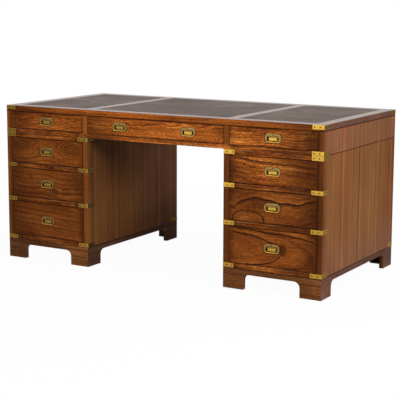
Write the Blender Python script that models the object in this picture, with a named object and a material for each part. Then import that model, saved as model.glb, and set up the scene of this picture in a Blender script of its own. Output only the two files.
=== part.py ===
"""Campaign partners desk: a top case with three drawers, on two drawer pedestals with rear cupboards.

Metres, +Z up. The origin is on the floor under the middle of the desk. The drawers face -Y and the
cupboard doors face +Y. Left and right are as seen from the drawer side.
"""

import math

import bmesh
import bpy
from mathutils import Matrix, Vector

# Plan of the desk
WIDTH = 1.756
DEPTH = 0.836
PEDESTAL_WIDTH = 0.4965
SIDE_THICK = 0.026

# Heights of the layers, from the floor up
PLINTH_HEIGHT = 0.098
RAIL_THICK = 0.0205
LOWER_OPENING = 0.1775
MIDDLE_OPENING = 0.154
UPPER_OPENING = 0.1315
FRIEZE_BASE_THICK = 0.0205
FRIEZE_OPENING = 0.088
TOP_THICK = 0.0285

# Bracket feet, left between the arches of each plinth
PLINTH_WALL = 0.022
FOOT_WIDTH = 0.106
ARCH_RAIL = 0.026
ARCH_CORNER = 0.028

# Inner boards
HOUSING_DEPTH = 0.006
PARTITION_THICK = 0.012
SPINE_THICK = 0.018
REAR_PANEL_THICK = 0.020

# Leather inlays of the top
LEATHER_THICK = 0.002
LEATHER_BORDER = 0.058
LEATHER_BAND = 0.056

# Drawers
DRAWER_LENGTH = 0.480
DRAWER_BACKING = 0.0067
DRAWER_WALL = 0.012
DRAWER_BOTTOM = 0.007
DRAWER_RECESS = 0.002
DRAWER_GAP = 0.002
DRAWER_SIDE_CLEAR = 0.001
DRAWER_TOP_CLEAR = 0.008
DRAWER_REAR_CLEAR = 0.008

# Flush handles: a brass plate with a sunk pan, and a pull that swings up out of it
PLATE_WIDTH = 0.080
PLATE_HEIGHT = 0.041
PLATE_CORNER = 0.0165
PLATE_THICK = 0.0022
PLATE_LET_IN = 0.0012
RIM_SIDE = 0.011
RIM_ABOVE = 0.0115
RIM_BELOW = 0.0055
PAN_WALL = 0.0015
PAN_TOP_CORNER = 0.002
PAN_FOOT_CORNER = 0.0055
BARREL_RADIUS = 0.0022
BARREL_GAP = 0.0013
BARREL_SINK = 0.0023
PIN_RADIUS = 0.0012
PIN_CLEAR = 0.0003
FINGER_SPACE = 0.0058
GRIP_SIDE_GAP = 0.0085
GRIP_FOOT_GAP = 0.003
GRIP_HEAD_GAP = 0.0033
GRIP_SINK = 0.001
GRIP_THICK = 0.004
NECK_THICK = 0.002

# Cupboard doors and their long hinges
DOOR_THICK = 0.020
DOOR_GAP = 0.002
HINGE_LEAF_THICK = 0.0012
HINGE_LEAF_WIDTH = 0.016
HINGE_RADIUS = 0.003
HINGE_CLEAR = 0.0004

# Gap that resting and housed pieces keep to what holds them, and how far a cutter runs past a face
CLEAR = 0.0003
PAST = 0.005

# Facets of round forms
CORNER_STEPS = 5
BARREL_SIDES = 12

# Places across the desk
HALF_WIDTH = WIDTH / 2
HALF_DEPTH = DEPTH / 2
HALF_KNEEHOLE = HALF_WIDTH - PEDESTAL_WIDTH
BAY_INNER = HALF_KNEEHOLE + SIDE_THICK
BAY_OUTER = HALF_WIDTH - SIDE_THICK
BAY_MIDDLE = (BAY_INNER + BAY_OUTER) / 2
HINGE_X = BAY_OUTER - DOOR_GAP / 2

# Levels
ARCH_HEIGHT = PLINTH_HEIGHT - ARCH_RAIL
BOTTOM_TOP = PLINTH_HEIGHT + RAIL_THICK
LOWER_RAIL_Z = BOTTOM_TOP + LOWER_OPENING
MIDDLE_Z = LOWER_RAIL_Z + RAIL_THICK
UPPER_RAIL_Z = MIDDLE_Z + MIDDLE_OPENING
UPPER_Z = UPPER_RAIL_Z + RAIL_THICK
CAP_Z = UPPER_Z + UPPER_OPENING
JOINT_Z = CAP_Z + RAIL_THICK
FRIEZE_Z = JOINT_Z + FRIEZE_BASE_THICK
TOP_Z = FRIEZE_Z + FRIEZE_OPENING
HEIGHT = TOP_Z + TOP_THICK

# Places in a handle, from the middle of its plate's face, with depths behind that face
PAN_HALF = PLATE_WIDTH / 2 - RIM_SIDE
PAN_HEAD = PLATE_HEIGHT / 2 - RIM_ABOVE
PAN_FOOT = -PLATE_HEIGHT / 2 + RIM_BELOW
PAN_DEPTH = BARREL_SINK + 2 * BARREL_RADIUS + FINGER_SPACE
PIVOT = Vector((0, BARREL_SINK + BARREL_RADIUS, PAN_HEAD - BARREL_GAP - BARREL_RADIUS))
PAN_BACK = PAN_DEPTH + PAN_WALL

# Places from front to back
DRAWER_FACE_Y = -HALF_DEPTH + DRAWER_RECESS
PLATE_FACE_Y = DRAWER_FACE_Y + PLATE_LET_IN - PLATE_THICK
FRONT_BACK_Y = PLATE_FACE_Y + PAN_BACK + DRAWER_BACKING
DRAWER_REAR_Y = DRAWER_FACE_Y + DRAWER_LENGTH
DIVIDE_Y = DRAWER_REAR_Y + DRAWER_REAR_CLEAR
DOOR_FACE_Y = HALF_DEPTH

# Axes of the row frame, and the two sides of the desk
ALONG_X, ALONG_Y = 0, 1
LEFT, RIGHT = -1, 1
SIDES = {LEFT: "left", RIGHT: "right"}


def clear_scene():
    for obj in list(bpy.data.objects):
        bpy.data.objects.remove(obj)


def new_collection(name):
    collection = bpy.data.collections.new(name)
    bpy.context.scene.collection.children.link(collection)
    return collection


def new_material(name, colour, roughness, metallic=0.0):
    material = bpy.data.materials.new(name)
    material.use_nodes = True
    shader = material.node_tree.nodes["Principled BSDF"]
    shader.inputs["Base Color"].default_value = (*colour, 1.0)
    shader.inputs["Roughness"].default_value = roughness
    shader.inputs["Metallic"].default_value = metallic
    return material


clear_scene()
PARTS = new_collection("partners_desk")
CUTTERS = new_collection("cutters")
CASE_WOOD = new_material("case_hardwood", (0.20, 0.075, 0.025), 0.35)
DRAWER_WOOD = new_material("drawer_hardwood", (0.25, 0.095, 0.030), 0.35)
LEATHER = new_material("desk_leather", (0.035, 0.030, 0.028), 0.55)
BRASS = new_material("brass", (0.72, 0.50, 0.17), 0.25, 1.0)


def span(side, near, far):
    """The x range from near to far on one side of the desk, low end first."""
    return sorted((side * near, side * far))


def runs_along(edge, axis):
    along = edge.verts[1].co - edge.verts[0].co
    return abs(along[axis]) > 0.999 * along.length


def edge_height(edge):
    return (edge.verts[0].co.z + edge.verts[1].co.z) / 2


def block_mesh(name, low, high, rounded=()):
    """A box about its own centre. Each (axis, end, radius) rounds the edges along that axis at the
    upper (1) or lower (-1) end."""
    size = Vector(high) - Vector(low)
    form = bmesh.new()
    bmesh.ops.create_cube(form, size=1.0, matrix=Matrix.Diagonal((*size, 1.0)))
    for axis, end, radius in rounded:
        edges = [edge for edge in form.edges if runs_along(edge, axis) and edge_height(edge) * end > 0]
        bmesh.ops.bevel(
            form, geom=edges, offset=radius, segments=CORNER_STEPS, profile=0.5, affect="EDGES"
        )
    return to_mesh(name, form)


def rod_mesh(name, radius, length, axis="Z"):
    """A cylinder about its own centre, along X or Z."""
    turn = Matrix.Rotation(math.pi / 2, 4, "Y") if axis == "X" else Matrix.Identity(4)
    form = bmesh.new()
    bmesh.ops.create_cone(
        form,
        cap_ends=True,
        segments=BARREL_SIDES,
        radius1=radius,
        radius2=radius,
        depth=length,
        matrix=turn,
    )
    return to_mesh(name, form)


def to_mesh(name, form):
    mesh = bpy.data.meshes.new(name)
    form.to_mesh(mesh)
    form.free()
    return mesh


def middle_of(low, high):
    return (Vector(low) + Vector(high)) / 2


def add_part(name, mesh, location, material):
    obj = bpy.data.objects.new(name, mesh)
    obj.location = location
    if not mesh.materials:
        mesh.materials.append(material)
    PARTS.objects.link(obj)
    return obj


def add_cutter(name, mesh, location=(0, 0, 0)):
    obj = bpy.data.objects.new(name, mesh)
    obj.location = location
    obj.hide_render = True
    obj.display_type = "WIRE"
    CUTTERS.objects.link(obj)
    return obj


def board(name, low, high, material=CASE_WOOD):
    return add_part(name, block_mesh(name, low, high), middle_of(low, high), material)


def cutter(name, low, high, rounded=()):
    return add_cutter(name, block_mesh(name, low, high, rounded), middle_of(low, high))


def combine(target, tool, operation="DIFFERENCE"):
    modifier = target.modifiers.new(tool.name, "BOOLEAN")
    modifier.operation = operation
    modifier.object = tool


def attach(child, parent):
    """The child keeps its place and moves with the parent."""
    child.parent = parent
    child.matrix_parent_inverse = Matrix.Translation(-parent.location)


def finished_mesh(name, obj):
    """The object's mesh with its modifiers applied. The object and its cutters are then removed."""
    bpy.context.view_layer.update()
    graph = bpy.context.evaluated_depsgraph_get()
    mesh = bpy.data.meshes.new_from_object(obj.evaluated_get(graph))
    mesh.name = name
    tools = [modifier.object for modifier in obj.modifiers]
    for used in [obj, *tools]:
        bpy.data.objects.remove(used)
    return mesh


def leather_panels():
    """The name and x range of each leather panel. The bands between them lie over the frieze dividers."""
    band_middle = HALF_KNEEHOLE + SIDE_THICK / 2
    band_in = band_middle - LEATHER_BAND / 2
    band_out = band_middle + LEATHER_BAND / 2
    edge = HALF_WIDTH - LEATHER_BORDER
    return [
        ("left_leather", -edge, -band_out),
        ("centre_leather", -band_in, band_in),
        ("right_leather", band_out, edge),
    ]


def build_top():
    low = (-HALF_WIDTH, -HALF_DEPTH, TOP_Z + CLEAR)
    top = board("top_board", low, (HALF_WIDTH, HALF_DEPTH, HEIGHT))
    reach = HALF_DEPTH - LEATHER_BORDER
    gap = Vector((CLEAR, CLEAR, CLEAR))
    above = Vector((0, 0, PAST))
    for name, x_low, x_high in leather_panels():
        low = Vector((x_low, -reach, HEIGHT - LEATHER_THICK))
        high = Vector((x_high, reach, HEIGHT))
        board(name, low, high, LEATHER)
        combine(top, cutter(f"{name}_recess", low - gap, high + gap + above))


def build_frieze():
    """The shallow case under the top: a base, two ends, two dividers, a spine and a rear panel."""
    foot = JOINT_Z + CLEAR
    base_top = FRIEZE_Z + CLEAR
    panel_front = HALF_DEPTH - REAR_PANEL_THICK
    reach = BAY_OUTER + HOUSING_DEPTH - CLEAR
    inner = BAY_OUTER - CLEAR
    board("frieze_base", (-reach, -HALF_DEPTH, foot), (reach, panel_front - CLEAR, FRIEZE_Z))
    board("frieze_spine", (-inner, DIVIDE_Y, base_top), (inner, DIVIDE_Y + SPINE_THICK, TOP_Z))
    board("rear_frieze_panel", (-inner, panel_front, foot), (inner, HALF_DEPTH, TOP_Z))
    for side, label in SIDES.items():
        x_low, x_high = span(side, BAY_OUTER, HALF_WIDTH)
        end = board(f"{label}_frieze_end", (x_low, -HALF_DEPTH, foot), (x_high, HALF_DEPTH, TOP_Z))
        x_low, x_high = span(side, BAY_OUTER - PAST, BAY_OUTER + HOUSING_DEPTH)
        low = (x_low, -HALF_DEPTH - PAST, foot - PAST)
        combine(end, cutter(f"{label}_frieze_housing", low, (x_high, panel_front, base_top)))
        x_low, x_high = span(side, HALF_KNEEHOLE, BAY_INNER)
        low = (x_low, -HALF_DEPTH, base_top)
        board(f"{label}_frieze_divider", low, (x_high, DIVIDE_Y - CLEAR, TOP_Z))


def pedestal_boards():
    """The name of each board between a pedestal's sides, and the y and z ranges that it fills."""
    front, drawer_rear = -HALF_DEPTH, DIVIDE_Y - CLEAR
    partition_rear = DIVIDE_Y + PARTITION_THICK
    return [
        ("bottom_board", (front, PLINTH_HEIGHT + CLEAR), (HALF_DEPTH, BOTTOM_TOP)),
        ("lower_rail_board", (front, LOWER_RAIL_Z), (drawer_rear, LOWER_RAIL_Z + RAIL_THICK)),
        ("upper_rail_board", (front, UPPER_RAIL_Z), (drawer_rear, UPPER_RAIL_Z + RAIL_THICK)),
        ("cap_board", (front, CAP_Z), (HALF_DEPTH, JOINT_Z)),
        ("partition", (DIVIDE_Y, BOTTOM_TOP + CLEAR), (partition_rear, CAP_Z - CLEAR)),
    ]


def build_pedestal(side):
    """Two sides with the boards between them housed in their inner faces."""
    label = SIDES[side]
    inner = board_side(f"{label}_inner_side", *span(side, HALF_KNEEHOLE, BAY_INNER))
    outer = board_side(f"{label}_outer_side", *span(side, BAY_OUTER, HALF_WIDTH))
    inner_housing = span(side, BAY_INNER - HOUSING_DEPTH, BAY_INNER + PAST)
    outer_housing = span(side, BAY_OUTER - PAST, BAY_OUTER + HOUSING_DEPTH)
    x_low, x_high = span(side, BAY_INNER - HOUSING_DEPTH + CLEAR, BAY_OUTER + HOUSING_DEPTH - CLEAR)
    for name, (y_low, z_low), (y_high, z_high) in pedestal_boards():
        board(f"{label}_{name}", (x_low, y_low, z_low), (x_high, y_high, z_high))
        for cheek, (cut_low, cut_high) in ((inner, inner_housing), (outer, outer_housing)):
            low = (cut_low, y_low - CLEAR, z_low - CLEAR)
            high = (cut_high, y_high + CLEAR, z_high + CLEAR)
            combine(cheek, cutter(f"{cheek.name}_{name}_housing", low, high))
    return outer


def board_side(name, x_low, x_high):
    low = (x_low, -HALF_DEPTH, PLINTH_HEIGHT + CLEAR)
    return board(name, low, (x_high, HALF_DEPTH, JOINT_Z))


def build_plinth(side):
    """A hollow base whose four faces are arched, which leaves a bracket foot at each corner."""
    label = SIDES[side]
    x_low, x_high = span(side, HALF_KNEEHOLE, HALF_WIDTH)
    y_low, y_high = -HALF_DEPTH, HALF_DEPTH
    plinth = board(f"{label}_plinth", (x_low, y_low, 0), (x_high, y_high, PLINTH_HEIGHT))
    hollow = cutter(
        f"{label}_plinth_hollow",
        (x_low + PLINTH_WALL, y_low + PLINTH_WALL, -PAST),
        (x_high - PLINTH_WALL, y_high - PLINTH_WALL, PLINTH_HEIGHT + PAST),
    )
    corner = min(ARCH_CORNER, ARCH_HEIGHT)
    front_arch = cutter(
        f"{label}_front_arch",
        (x_low + FOOT_WIDTH, y_low - PAST, -PAST),
        (x_high - FOOT_WIDTH, y_high + PAST, ARCH_HEIGHT),
        [(ALONG_Y, 1, corner)],
    )
    side_arch = cutter(
        f"{label}_side_arch",
        (x_low - PAST, y_low + FOOT_WIDTH, -PAST),
        (x_high + PAST, y_high - FOOT_WIDTH, ARCH_HEIGHT),
        [(ALONG_X, 1, corner)],
    )
    for tool in (hollow, front_arch, side_arch):
        combine(plinth, tool)


def build_door(side, cheek):
    """An inset door on a long hinge, whose barrel is half let into the door and the outer side."""
    label = SIDES[side]
    foot, head = BOTTOM_TOP + DOOR_GAP, CAP_Z - DOOR_GAP
    length = head - foot
    axis = Vector((side * HINGE_X, DOOR_FACE_Y, (foot + head) / 2))
    x_low, x_high = span(side, BAY_INNER + DOOR_GAP, BAY_OUTER - DOOR_GAP)
    low, high = (x_low, DOOR_FACE_Y - DOOR_THICK, foot), (x_high, DOOR_FACE_Y, head)
    door_mesh = block_mesh(f"{label}_cupboard_door", low, high)
    door_mesh.transform(Matrix.Translation(middle_of(low, high) - axis))
    door = add_part(f"{label}_cupboard_door", door_mesh, axis, CASE_WOOD)
    groove = HINGE_RADIUS + HINGE_CLEAR
    door_groove = add_cutter(f"{label}_door_groove", rod_mesh("groove", groove, length + 2 * PAST), axis)
    attach(door_groove, door)
    combine(door, door_groove)
    combine(cheek, add_cutter(f"{label}_side_groove", rod_mesh("groove", groove, length + 2 * CLEAR), axis))
    hinge = add_part(f"{label}_cupboard_hinge", rod_mesh("barrel", HINGE_RADIUS, length), axis, BRASS)
    x_low, x_high = span(side, BAY_OUTER - CLEAR - HINGE_LEAF_THICK, BAY_OUTER - CLEAR)
    low = (x_low, DOOR_FACE_Y - HINGE_LEAF_WIDTH, foot)
    combine(hinge, cutter(f"{label}_hinge_leaf", low, (x_high, DOOR_FACE_Y, head)), "UNION")


def plate_box(grow, front, back):
    """The plate's outline grown by a clearance, between two depths behind the plate's face."""
    low = Vector((-PLATE_WIDTH / 2 - grow, front, -PLATE_HEIGHT / 2 - grow))
    corner = min(PLATE_CORNER, PLATE_HEIGHT / 2 - CLEAR) + grow
    return low, Vector((-low.x, back, -low.z)), [(ALONG_Y, 1, corner), (ALONG_Y, -1, corner)]


def pan_box(grow, front, back):
    """The pan's inside grown by a wall or clearance, between two depths behind the plate's face."""
    low = Vector((-PAN_HALF - grow, front, PAN_FOOT - grow))
    high = Vector((PAN_HALF + grow, back, PAN_HEAD + grow))
    return low, high, [(ALONG_Y, 1, PAN_TOP_CORNER + grow), (ALONG_Y, -1, PAN_FOOT_CORNER + grow)]


def make_plate_mesh():
    """A plate and its sunk pan, with a hole for the pull's pin in each end wall. y is 0 at its face."""
    low, high, rounded = plate_box(0, 0, PLATE_THICK)
    middle = middle_of(low, high)
    plate = add_part("plate", block_mesh("plate", low, high, rounded), middle, BRASS)
    combine(plate, cutter("pan_shell", *pan_box(PAN_WALL, PLATE_THICK / 2, PAN_BACK)), "UNION")
    combine(plate, cutter("pan_hollow", *pan_box(0, -PAST, PAN_DEPTH)))
    bore = rod_mesh("pin_bore", PIN_RADIUS + PIN_CLEAR, 2 * (PAN_HALF + PAN_WALL) + PAST, "X")
    combine(plate, add_cutter("pin_bore", bore, PIVOT))
    mesh = finished_mesh("handle_plate", plate)
    mesh.transform(Matrix.Translation(middle))
    return mesh


def make_pull_mesh():
    """A barrel with pin ends, and a thin neck with a thick grip below it. The origin is on its axis."""
    grip = PAN_HALF - GRIP_SIDE_GAP
    foot = PAN_FOOT + GRIP_FOOT_GAP - PIVOT.z
    face = GRIP_SINK - PIVOT.y
    neck = NECK_THICK / 2
    head = -BARREL_RADIUS - GRIP_HEAD_GAP
    barrel_mesh = rod_mesh("barrel", BARREL_RADIUS, 2 * (PAN_HALF - CLEAR), "X")
    pin_mesh = rod_mesh("pin", PIN_RADIUS, 2 * (PAN_HALF + PAN_WALL - CLEAR), "X")
    pull = add_part("pull", barrel_mesh, (0, 0, 0), BRASS)
    tools = [
        add_cutter("pull_pin", pin_mesh),
        cutter("pull_neck", (-grip, -neck, foot), (grip, neck, 0)),
        cutter("pull_grip", (-grip, face, foot), (grip, face + GRIP_THICK, head)),
    ]
    for tool in tools:
        combine(pull, tool, "UNION")
    return finished_mesh("pull", pull)


def drawer_bays():
    """Each drawer's name, the x and z ranges of its opening, and the x place of each handle by name."""
    quarter = HALF_KNEEHOLE / 2
    centre_handles = {"centre_frieze_left": -quarter, "centre_frieze_right": quarter}
    kneehole = (-HALF_KNEEHOLE, HALF_KNEEHOLE)
    bays = [("centre_frieze", kneehole, (FRIEZE_Z, TOP_Z), centre_handles)]
    levels = {
        "frieze": (FRIEZE_Z, TOP_Z),
        "upper": (UPPER_Z, CAP_Z),
        "middle": (MIDDLE_Z, UPPER_RAIL_Z),
        "lower": (BOTTOM_TOP, LOWER_RAIL_Z),
    }
    for side, label in SIDES.items():
        for level, z_range in levels.items():
            name = f"{label}_{level}"
            bays.append((name, span(side, BAY_INNER, BAY_OUTER), z_range, {name: side * BAY_MIDDLE}))
    return bays


def build_drawer(name, x_range, z_range, handles, plate_mesh, pull_mesh):
    """A drawer front and the open box behind it in one body, with its handles let into the front."""
    (x_low, x_high), (z_low, z_high) = x_range, z_range
    low = (x_low + DRAWER_GAP, DRAWER_FACE_Y, z_low + DRAWER_GAP)
    high = (x_high - DRAWER_GAP, FRONT_BACK_Y, z_high - DRAWER_GAP)
    drawer = board(f"{name}_drawer", low, high, DRAWER_WOOD)
    low = Vector((x_low + DRAWER_SIDE_CLEAR, FRONT_BACK_Y - DRAWER_BACKING / 2, z_low + CLEAR))
    high = Vector((x_high - DRAWER_SIDE_CLEAR, DRAWER_REAR_Y, z_high - DRAWER_TOP_CLEAR))
    box = cutter(f"{name}_box", low, high)
    hollow_low = (low.x + DRAWER_WALL, FRONT_BACK_Y, low.z + DRAWER_BOTTOM)
    hollow_high = (high.x - DRAWER_WALL, high.y - DRAWER_WALL, z_high + PAST)
    hollow = cutter(f"{name}_hollow", hollow_low, hollow_high)
    combine(drawer, box, "UNION")
    combine(drawer, hollow)
    for tool in (box, hollow):
        attach(tool, drawer)
    for handle, x in handles.items():
        place = Vector((x, PLATE_FACE_Y, (z_low + z_high) / 2))
        build_handle(handle, drawer, place, plate_mesh, pull_mesh)


def build_handle(name, drawer, place, plate_mesh, pull_mesh):
    """A plate let into the drawer front and a pull on its pins. place is the middle of the plate's face."""
    pockets = {
        f"{name}_let_in": plate_box(CLEAR, -PAST, PLATE_THICK + CLEAR),
        f"{name}_pocket": pan_box(PAN_WALL + CLEAR, 0, PAN_BACK + CLEAR),
    }
    for tool_name, (low, high, rounded) in pockets.items():
        tool = cutter(tool_name, low + place, high + place, rounded)
        combine(drawer, tool)
        attach(tool, drawer)
    attach(add_part(f"{name}_handle_plate", plate_mesh, place, BRASS), drawer)
    attach(add_part(f"{name}_pull", pull_mesh, place + PIVOT, BRASS), drawer)


def build_desk():
    build_top()
    build_frieze()
    for side in SIDES:
        outer_side = build_pedestal(side)
        build_plinth(side)
        build_door(side, outer_side)
    plate_mesh = make_plate_mesh()
    pull_mesh = make_pull_mesh()
    for name, x_range, z_range, handles in drawer_bays():
        build_drawer(name, x_range, z_range, handles, plate_mesh, pull_mesh)


build_desk()
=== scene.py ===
"""Looks of a campaign partners desk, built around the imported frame.

Metres, +Z up. The drawers face -Y and the cupboard doors face +Y. Left and right are as seen from the
drawer side. Every new mesh holds its place in its vertices, so patterns follow the frame's coordinates.
"""

import math

import bmesh
import bpy
from mathutils import Matrix, Vector


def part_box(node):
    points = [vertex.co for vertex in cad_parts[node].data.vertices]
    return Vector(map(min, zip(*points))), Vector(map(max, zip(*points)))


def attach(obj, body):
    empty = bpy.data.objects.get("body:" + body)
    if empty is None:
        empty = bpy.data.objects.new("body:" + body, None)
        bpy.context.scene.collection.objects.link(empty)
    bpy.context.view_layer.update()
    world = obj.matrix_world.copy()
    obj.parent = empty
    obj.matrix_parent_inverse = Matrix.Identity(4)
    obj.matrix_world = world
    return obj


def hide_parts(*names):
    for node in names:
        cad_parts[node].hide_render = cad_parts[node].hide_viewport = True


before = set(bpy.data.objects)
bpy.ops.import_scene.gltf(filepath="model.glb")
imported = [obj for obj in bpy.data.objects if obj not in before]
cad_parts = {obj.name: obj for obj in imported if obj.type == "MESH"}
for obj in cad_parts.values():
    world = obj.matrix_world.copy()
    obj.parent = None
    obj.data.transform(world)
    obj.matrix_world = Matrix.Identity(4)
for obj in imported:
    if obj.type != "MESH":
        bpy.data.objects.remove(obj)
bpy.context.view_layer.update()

# Camera, for a square picture
CAMERA_PLACE = (2.9727, -5.0288, 1.3382)
CAMERA_TURN = math.radians(30.493)
CAMERA_TILT = math.radians(9.009)
CAMERA_ROLL = math.radians(0.201)
CAMERA_LENS = 105.811
CAMERA_SHIFT_Y = -0.05
SENSOR_WIDTH = 36.0

# Lamps: place, target, size, power, colour, and whether the lamp shows in reflections
WHITE = (1.0, 1.0, 1.0)
LAMPS = {
    "key": ((3.3, -2.2, 2.4), (0.5, -0.4, 0.45), (1.6, 1.6), 135.0, (1.0, 0.97, 0.93), False),
    "fill": ((-1.5, -3.6, 2.2), (0.0, -0.3, 0.4), (2.4, 2.0), 24.0, WHITE, True),
    "top": ((0.0, 0.3, 3.4), (0.0, 0.0, 0.5), (3.0, 2.0), 40.0, WHITE, True),
    "back": ((-1.2, 4.4, 2.0), (0.0, 0.4, 0.3), (2.6, 2.0), 55.0, WHITE, False),
    "rear": ((1.7, 2.6, 1.3), (-0.38, 0.2, 0.4), (1.2, 1.2), 16.0, WHITE, False),
}
AMBIENT = 0.21
AMBIENT_COLOUR = (1.0, 0.98, 0.95)

# Floor. Its share of plain white for the camera goes from the third number to the fourth with the distance
FLOOR_HALF = 30.0
FLOOR_COLOUR = (0.80, 0.80, 0.79)
FLOOR_WHITE = (1.2, 2.8, 0.965, 1.0)

# Cards that are seen only in reflections: the colour and gloss of each kind, and the corners of each card
CARD_KINDS = {
    "blue_card": ((0.27, 0.25, 0.34), 0.5),
    "dark_card": ((0.20, 0.19, 0.17), 0.5),
    "deep_card": ((0.07, 0.065, 0.06), 0.0),
    "grey_card": ((0.52, 0.50, 0.48), 0.0),
}
LOW = 0.005
HIGH = 0.95
CARDS = (
    ("blue_card", ((-1.25, -2.45, LOW), (-4.2, -2.0, LOW), (-4.2, -2.0, HIGH), (-1.25, -2.45, HIGH))),
    ("blue_card", ((-0.45, -0.50, LOW), (-4.2, -0.45, LOW), (-4.2, -2.0, LOW), (-1.25, -2.45, LOW))),
    ("dark_card", ((0.05, -0.38, LOW), (9.0, -0.38, LOW), (9.0, 6.2, LOW), (3.8, 6.2, LOW))),
    ("deep_card", ((3.8, 6.2, LOW), (9.0, 6.2, LOW), (16.0, 14.0, LOW), (8.2, 14.0, LOW))),
    ("deep_card", ((-0.40, -0.38, LOW), (0.05, -0.38, LOW), (8.2, 14.0, LOW), (-0.40, 14.0, LOW))),
    ("grey_card", ((-0.44, -0.43, LOW), (1.2, -0.43, LOW), (1.2, -3.1, LOW), (-0.68, -3.1, LOW))),
)

# Axes and sides
X, Y, Z = 0, 1, 2
SIDES = {"left": -1, "right": 1}

# Rounded arrises
CASE_EDGE = 0.0012
EDGE_STEPS = 2
ROUND_STEPS = 3
EDGE_ANGLE = math.radians(40)
ROUND_PROFILE = 0.5
WELD_GAP = 0.00004
FACE_WEIGHT = 100

# Drawers
FRONT_THICK = 0.0197
FRONT_GAP = 0.002
FRONT_EDGE = 0.0016
SIDE_CLEAR = 0.001
TOP_CLEAR = 0.008
FOOT_CLEAR = 0.0003
BOX_WALL = 0.012
BOX_EDGE = 0.0012
BACK_DROP = 0.010
BACK_INSET = 0.001
BOTTOM_HEAD = 0.0070
BOTTOM_FOOT = 0.0015
BOTTOM_TONGUE = 0.004
BOTTOM_LAP = 0.003
BOTTOM_INSET = 0.002
BOTTOM_EDGE = 0.0006
TAIL_LENGTH = 0.0125
TAIL_ROOT = 0.002
TAIL_PITCH = 0.034
TAIL_GAP = 0.0035
TAIL_MARGIN = 0.004
TAIL_FLARE = 0.16

# Flush handles, measured from the middle of the plate's face, with depths behind that face
PLATE_WIDTH = 0.080
PLATE_HEIGHT = 0.041
PLATE_CORNER = 0.0165
PLATE_THICK = 0.0022
PAN_HALF = 0.029
PAN_HEAD = 0.009
PAN_FOOT = -0.015
PAN_TOP_CORNER = 0.002
PAN_FOOT_CORNER = 0.0055
PAN_DEPTH = 0.0125
PAN_WALL = 0.0015
PAN_BACK_EDGE = 0.0012
POCKET_CLEAR = 0.0003
POCKET_OPEN = 0.01
OUTLINE_POINTS = 96
OUTLINE_HALVINGS = 30
RAY_ORIGIN = (PAN_HEAD + PAN_FOOT) / 2

# Section of a plate from its rim to the bottom of its pan: (growth of the outline, depth) pairs
PLATE_BEAD = (
    (0.0000, 0.0004), (-0.0004, -0.0002), (-0.0014, -0.0006), (-0.0027, -0.0007),
    (-0.0034, -0.0003), (-0.0038, 0.0003), (-0.0041, 0.0003), (-0.0044, 0.0000),
)
PAN_SECTION = (
    (0.0004, 0.0), (0.0001, 0.0002), (0.0, 0.0008), (-0.0002, PAN_DEPTH - 0.0014), (-0.0014, PAN_DEPTH),
)

# Rows of a plate's faces: the rim, painted bright as a highlight below the height of this sine, and the
# grooves, dark as patina and painted shade
RIM_ROWS = (6, 7, 8)
RIM_HIGHLIGHT_SINE = -0.55
GROOVE_ROWS = (3, 4, 13, 14)

# Pulls
PIVOT = Vector((0, 0.0045, 0.0055))
BARREL_RADIUS = 0.0022
BARREL_SOFT = 0.0004
BARREL_SIDES = 24
PIN_RADIUS = 0.0012
GRIP_HALF = 0.0205
GRIP_HEAD = 0.0
GRIP_FOOT = -0.012
GRIP_FACE = 0.0010
GRIP_THICK = 0.0040
GRIP_EDGE = 0.0012
NECK_THICK = 0.0020
NECK_INSET = 0.001
NECK_RISE = 0.002
NECK_EDGE = 0.0005

# Corner straps
STRAP_LEG = 0.056
STRAP_HEIGHT = 0.0205
STRAP_TOP_GAP = 0.0004
STRAP_GAP = 0.0003
STRAP_PROUD = 0.0009
STRAP_SUNK = 0.0012
STRAP_EDGE = 0.0003
STRAP_CORNER = 0.0016
STRAP_CORNER_STEPS = 5

# Screws. In a strap: the distance from the corner, and the turns of the slots in the two legs
STRAP_SCREWS = ((0.019, 0.3, 1.1), (0.046, -0.6, 0.1))
STRAP_SCREW_RADIUS = 0.0031
PLATE_SCREW_RADIUS = 0.0027
PLATE_SCREW_SLOT = Vector((1, 0, 0.35))
SCREW_SLOT = 0.0008
SCREW_RISE = 0.00035
SCREW_SHOULDER = 0.6
SCREW_CROWN = 0.80
SCREW_SEAT = 1.12
SCREW_SEAT_LEVELS = (-0.0006, 0.00006)
SCREW_SIDES = 20

# Cupboard doors
HINGE_RADIUS = 0.003
HINGE_SOFT = 0.0004
HINGE_SIDES = 16
HINGE_PITCH = 0.025
HINGE_GAP = 0.0004
HINGE_PIN_RADIUS = 0.0011
HINGE_PIN_INSET = 0.001
HINGE_PIN_SIDES = 12
LEAF_WIDTH = 0.016
LEAF_OUTWARD = 0.0007
LEAF_INWARD = 0.0005
LEAF_EDGE = 0.0002
KNOB_INSET = 0.034
KNOB_HEIGHT = 0.10
KNOB_SIDES = 32
KNOB_PROFILE = (
    (-0.003, 0.0115), (0.0006, 0.0115), (0.0014, 0.0105), (0.0020, 0.0070),
    (0.0040, 0.0048), (0.0080, 0.0044), (0.0105, 0.0060), (0.0125, 0.0092),
    (0.0150, 0.0108), (0.0175, 0.0100), (0.0190, 0.0072), (0.0196, 0.0030),
)

# Section of a hide with two pressed lines near its edge: (inset, drop) pairs
HIDE_SECTION = (
    (0.0, 0.0007), (0.0007, 0.0001), (0.0120, 0.0), (0.0124, 0.0004), (0.0131, 0.0004),
    (0.0135, 0.0), (0.0156, 0.0), (0.0158, 0.0003), (0.0162, 0.0003), (0.0164, 0.0),
)

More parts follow.
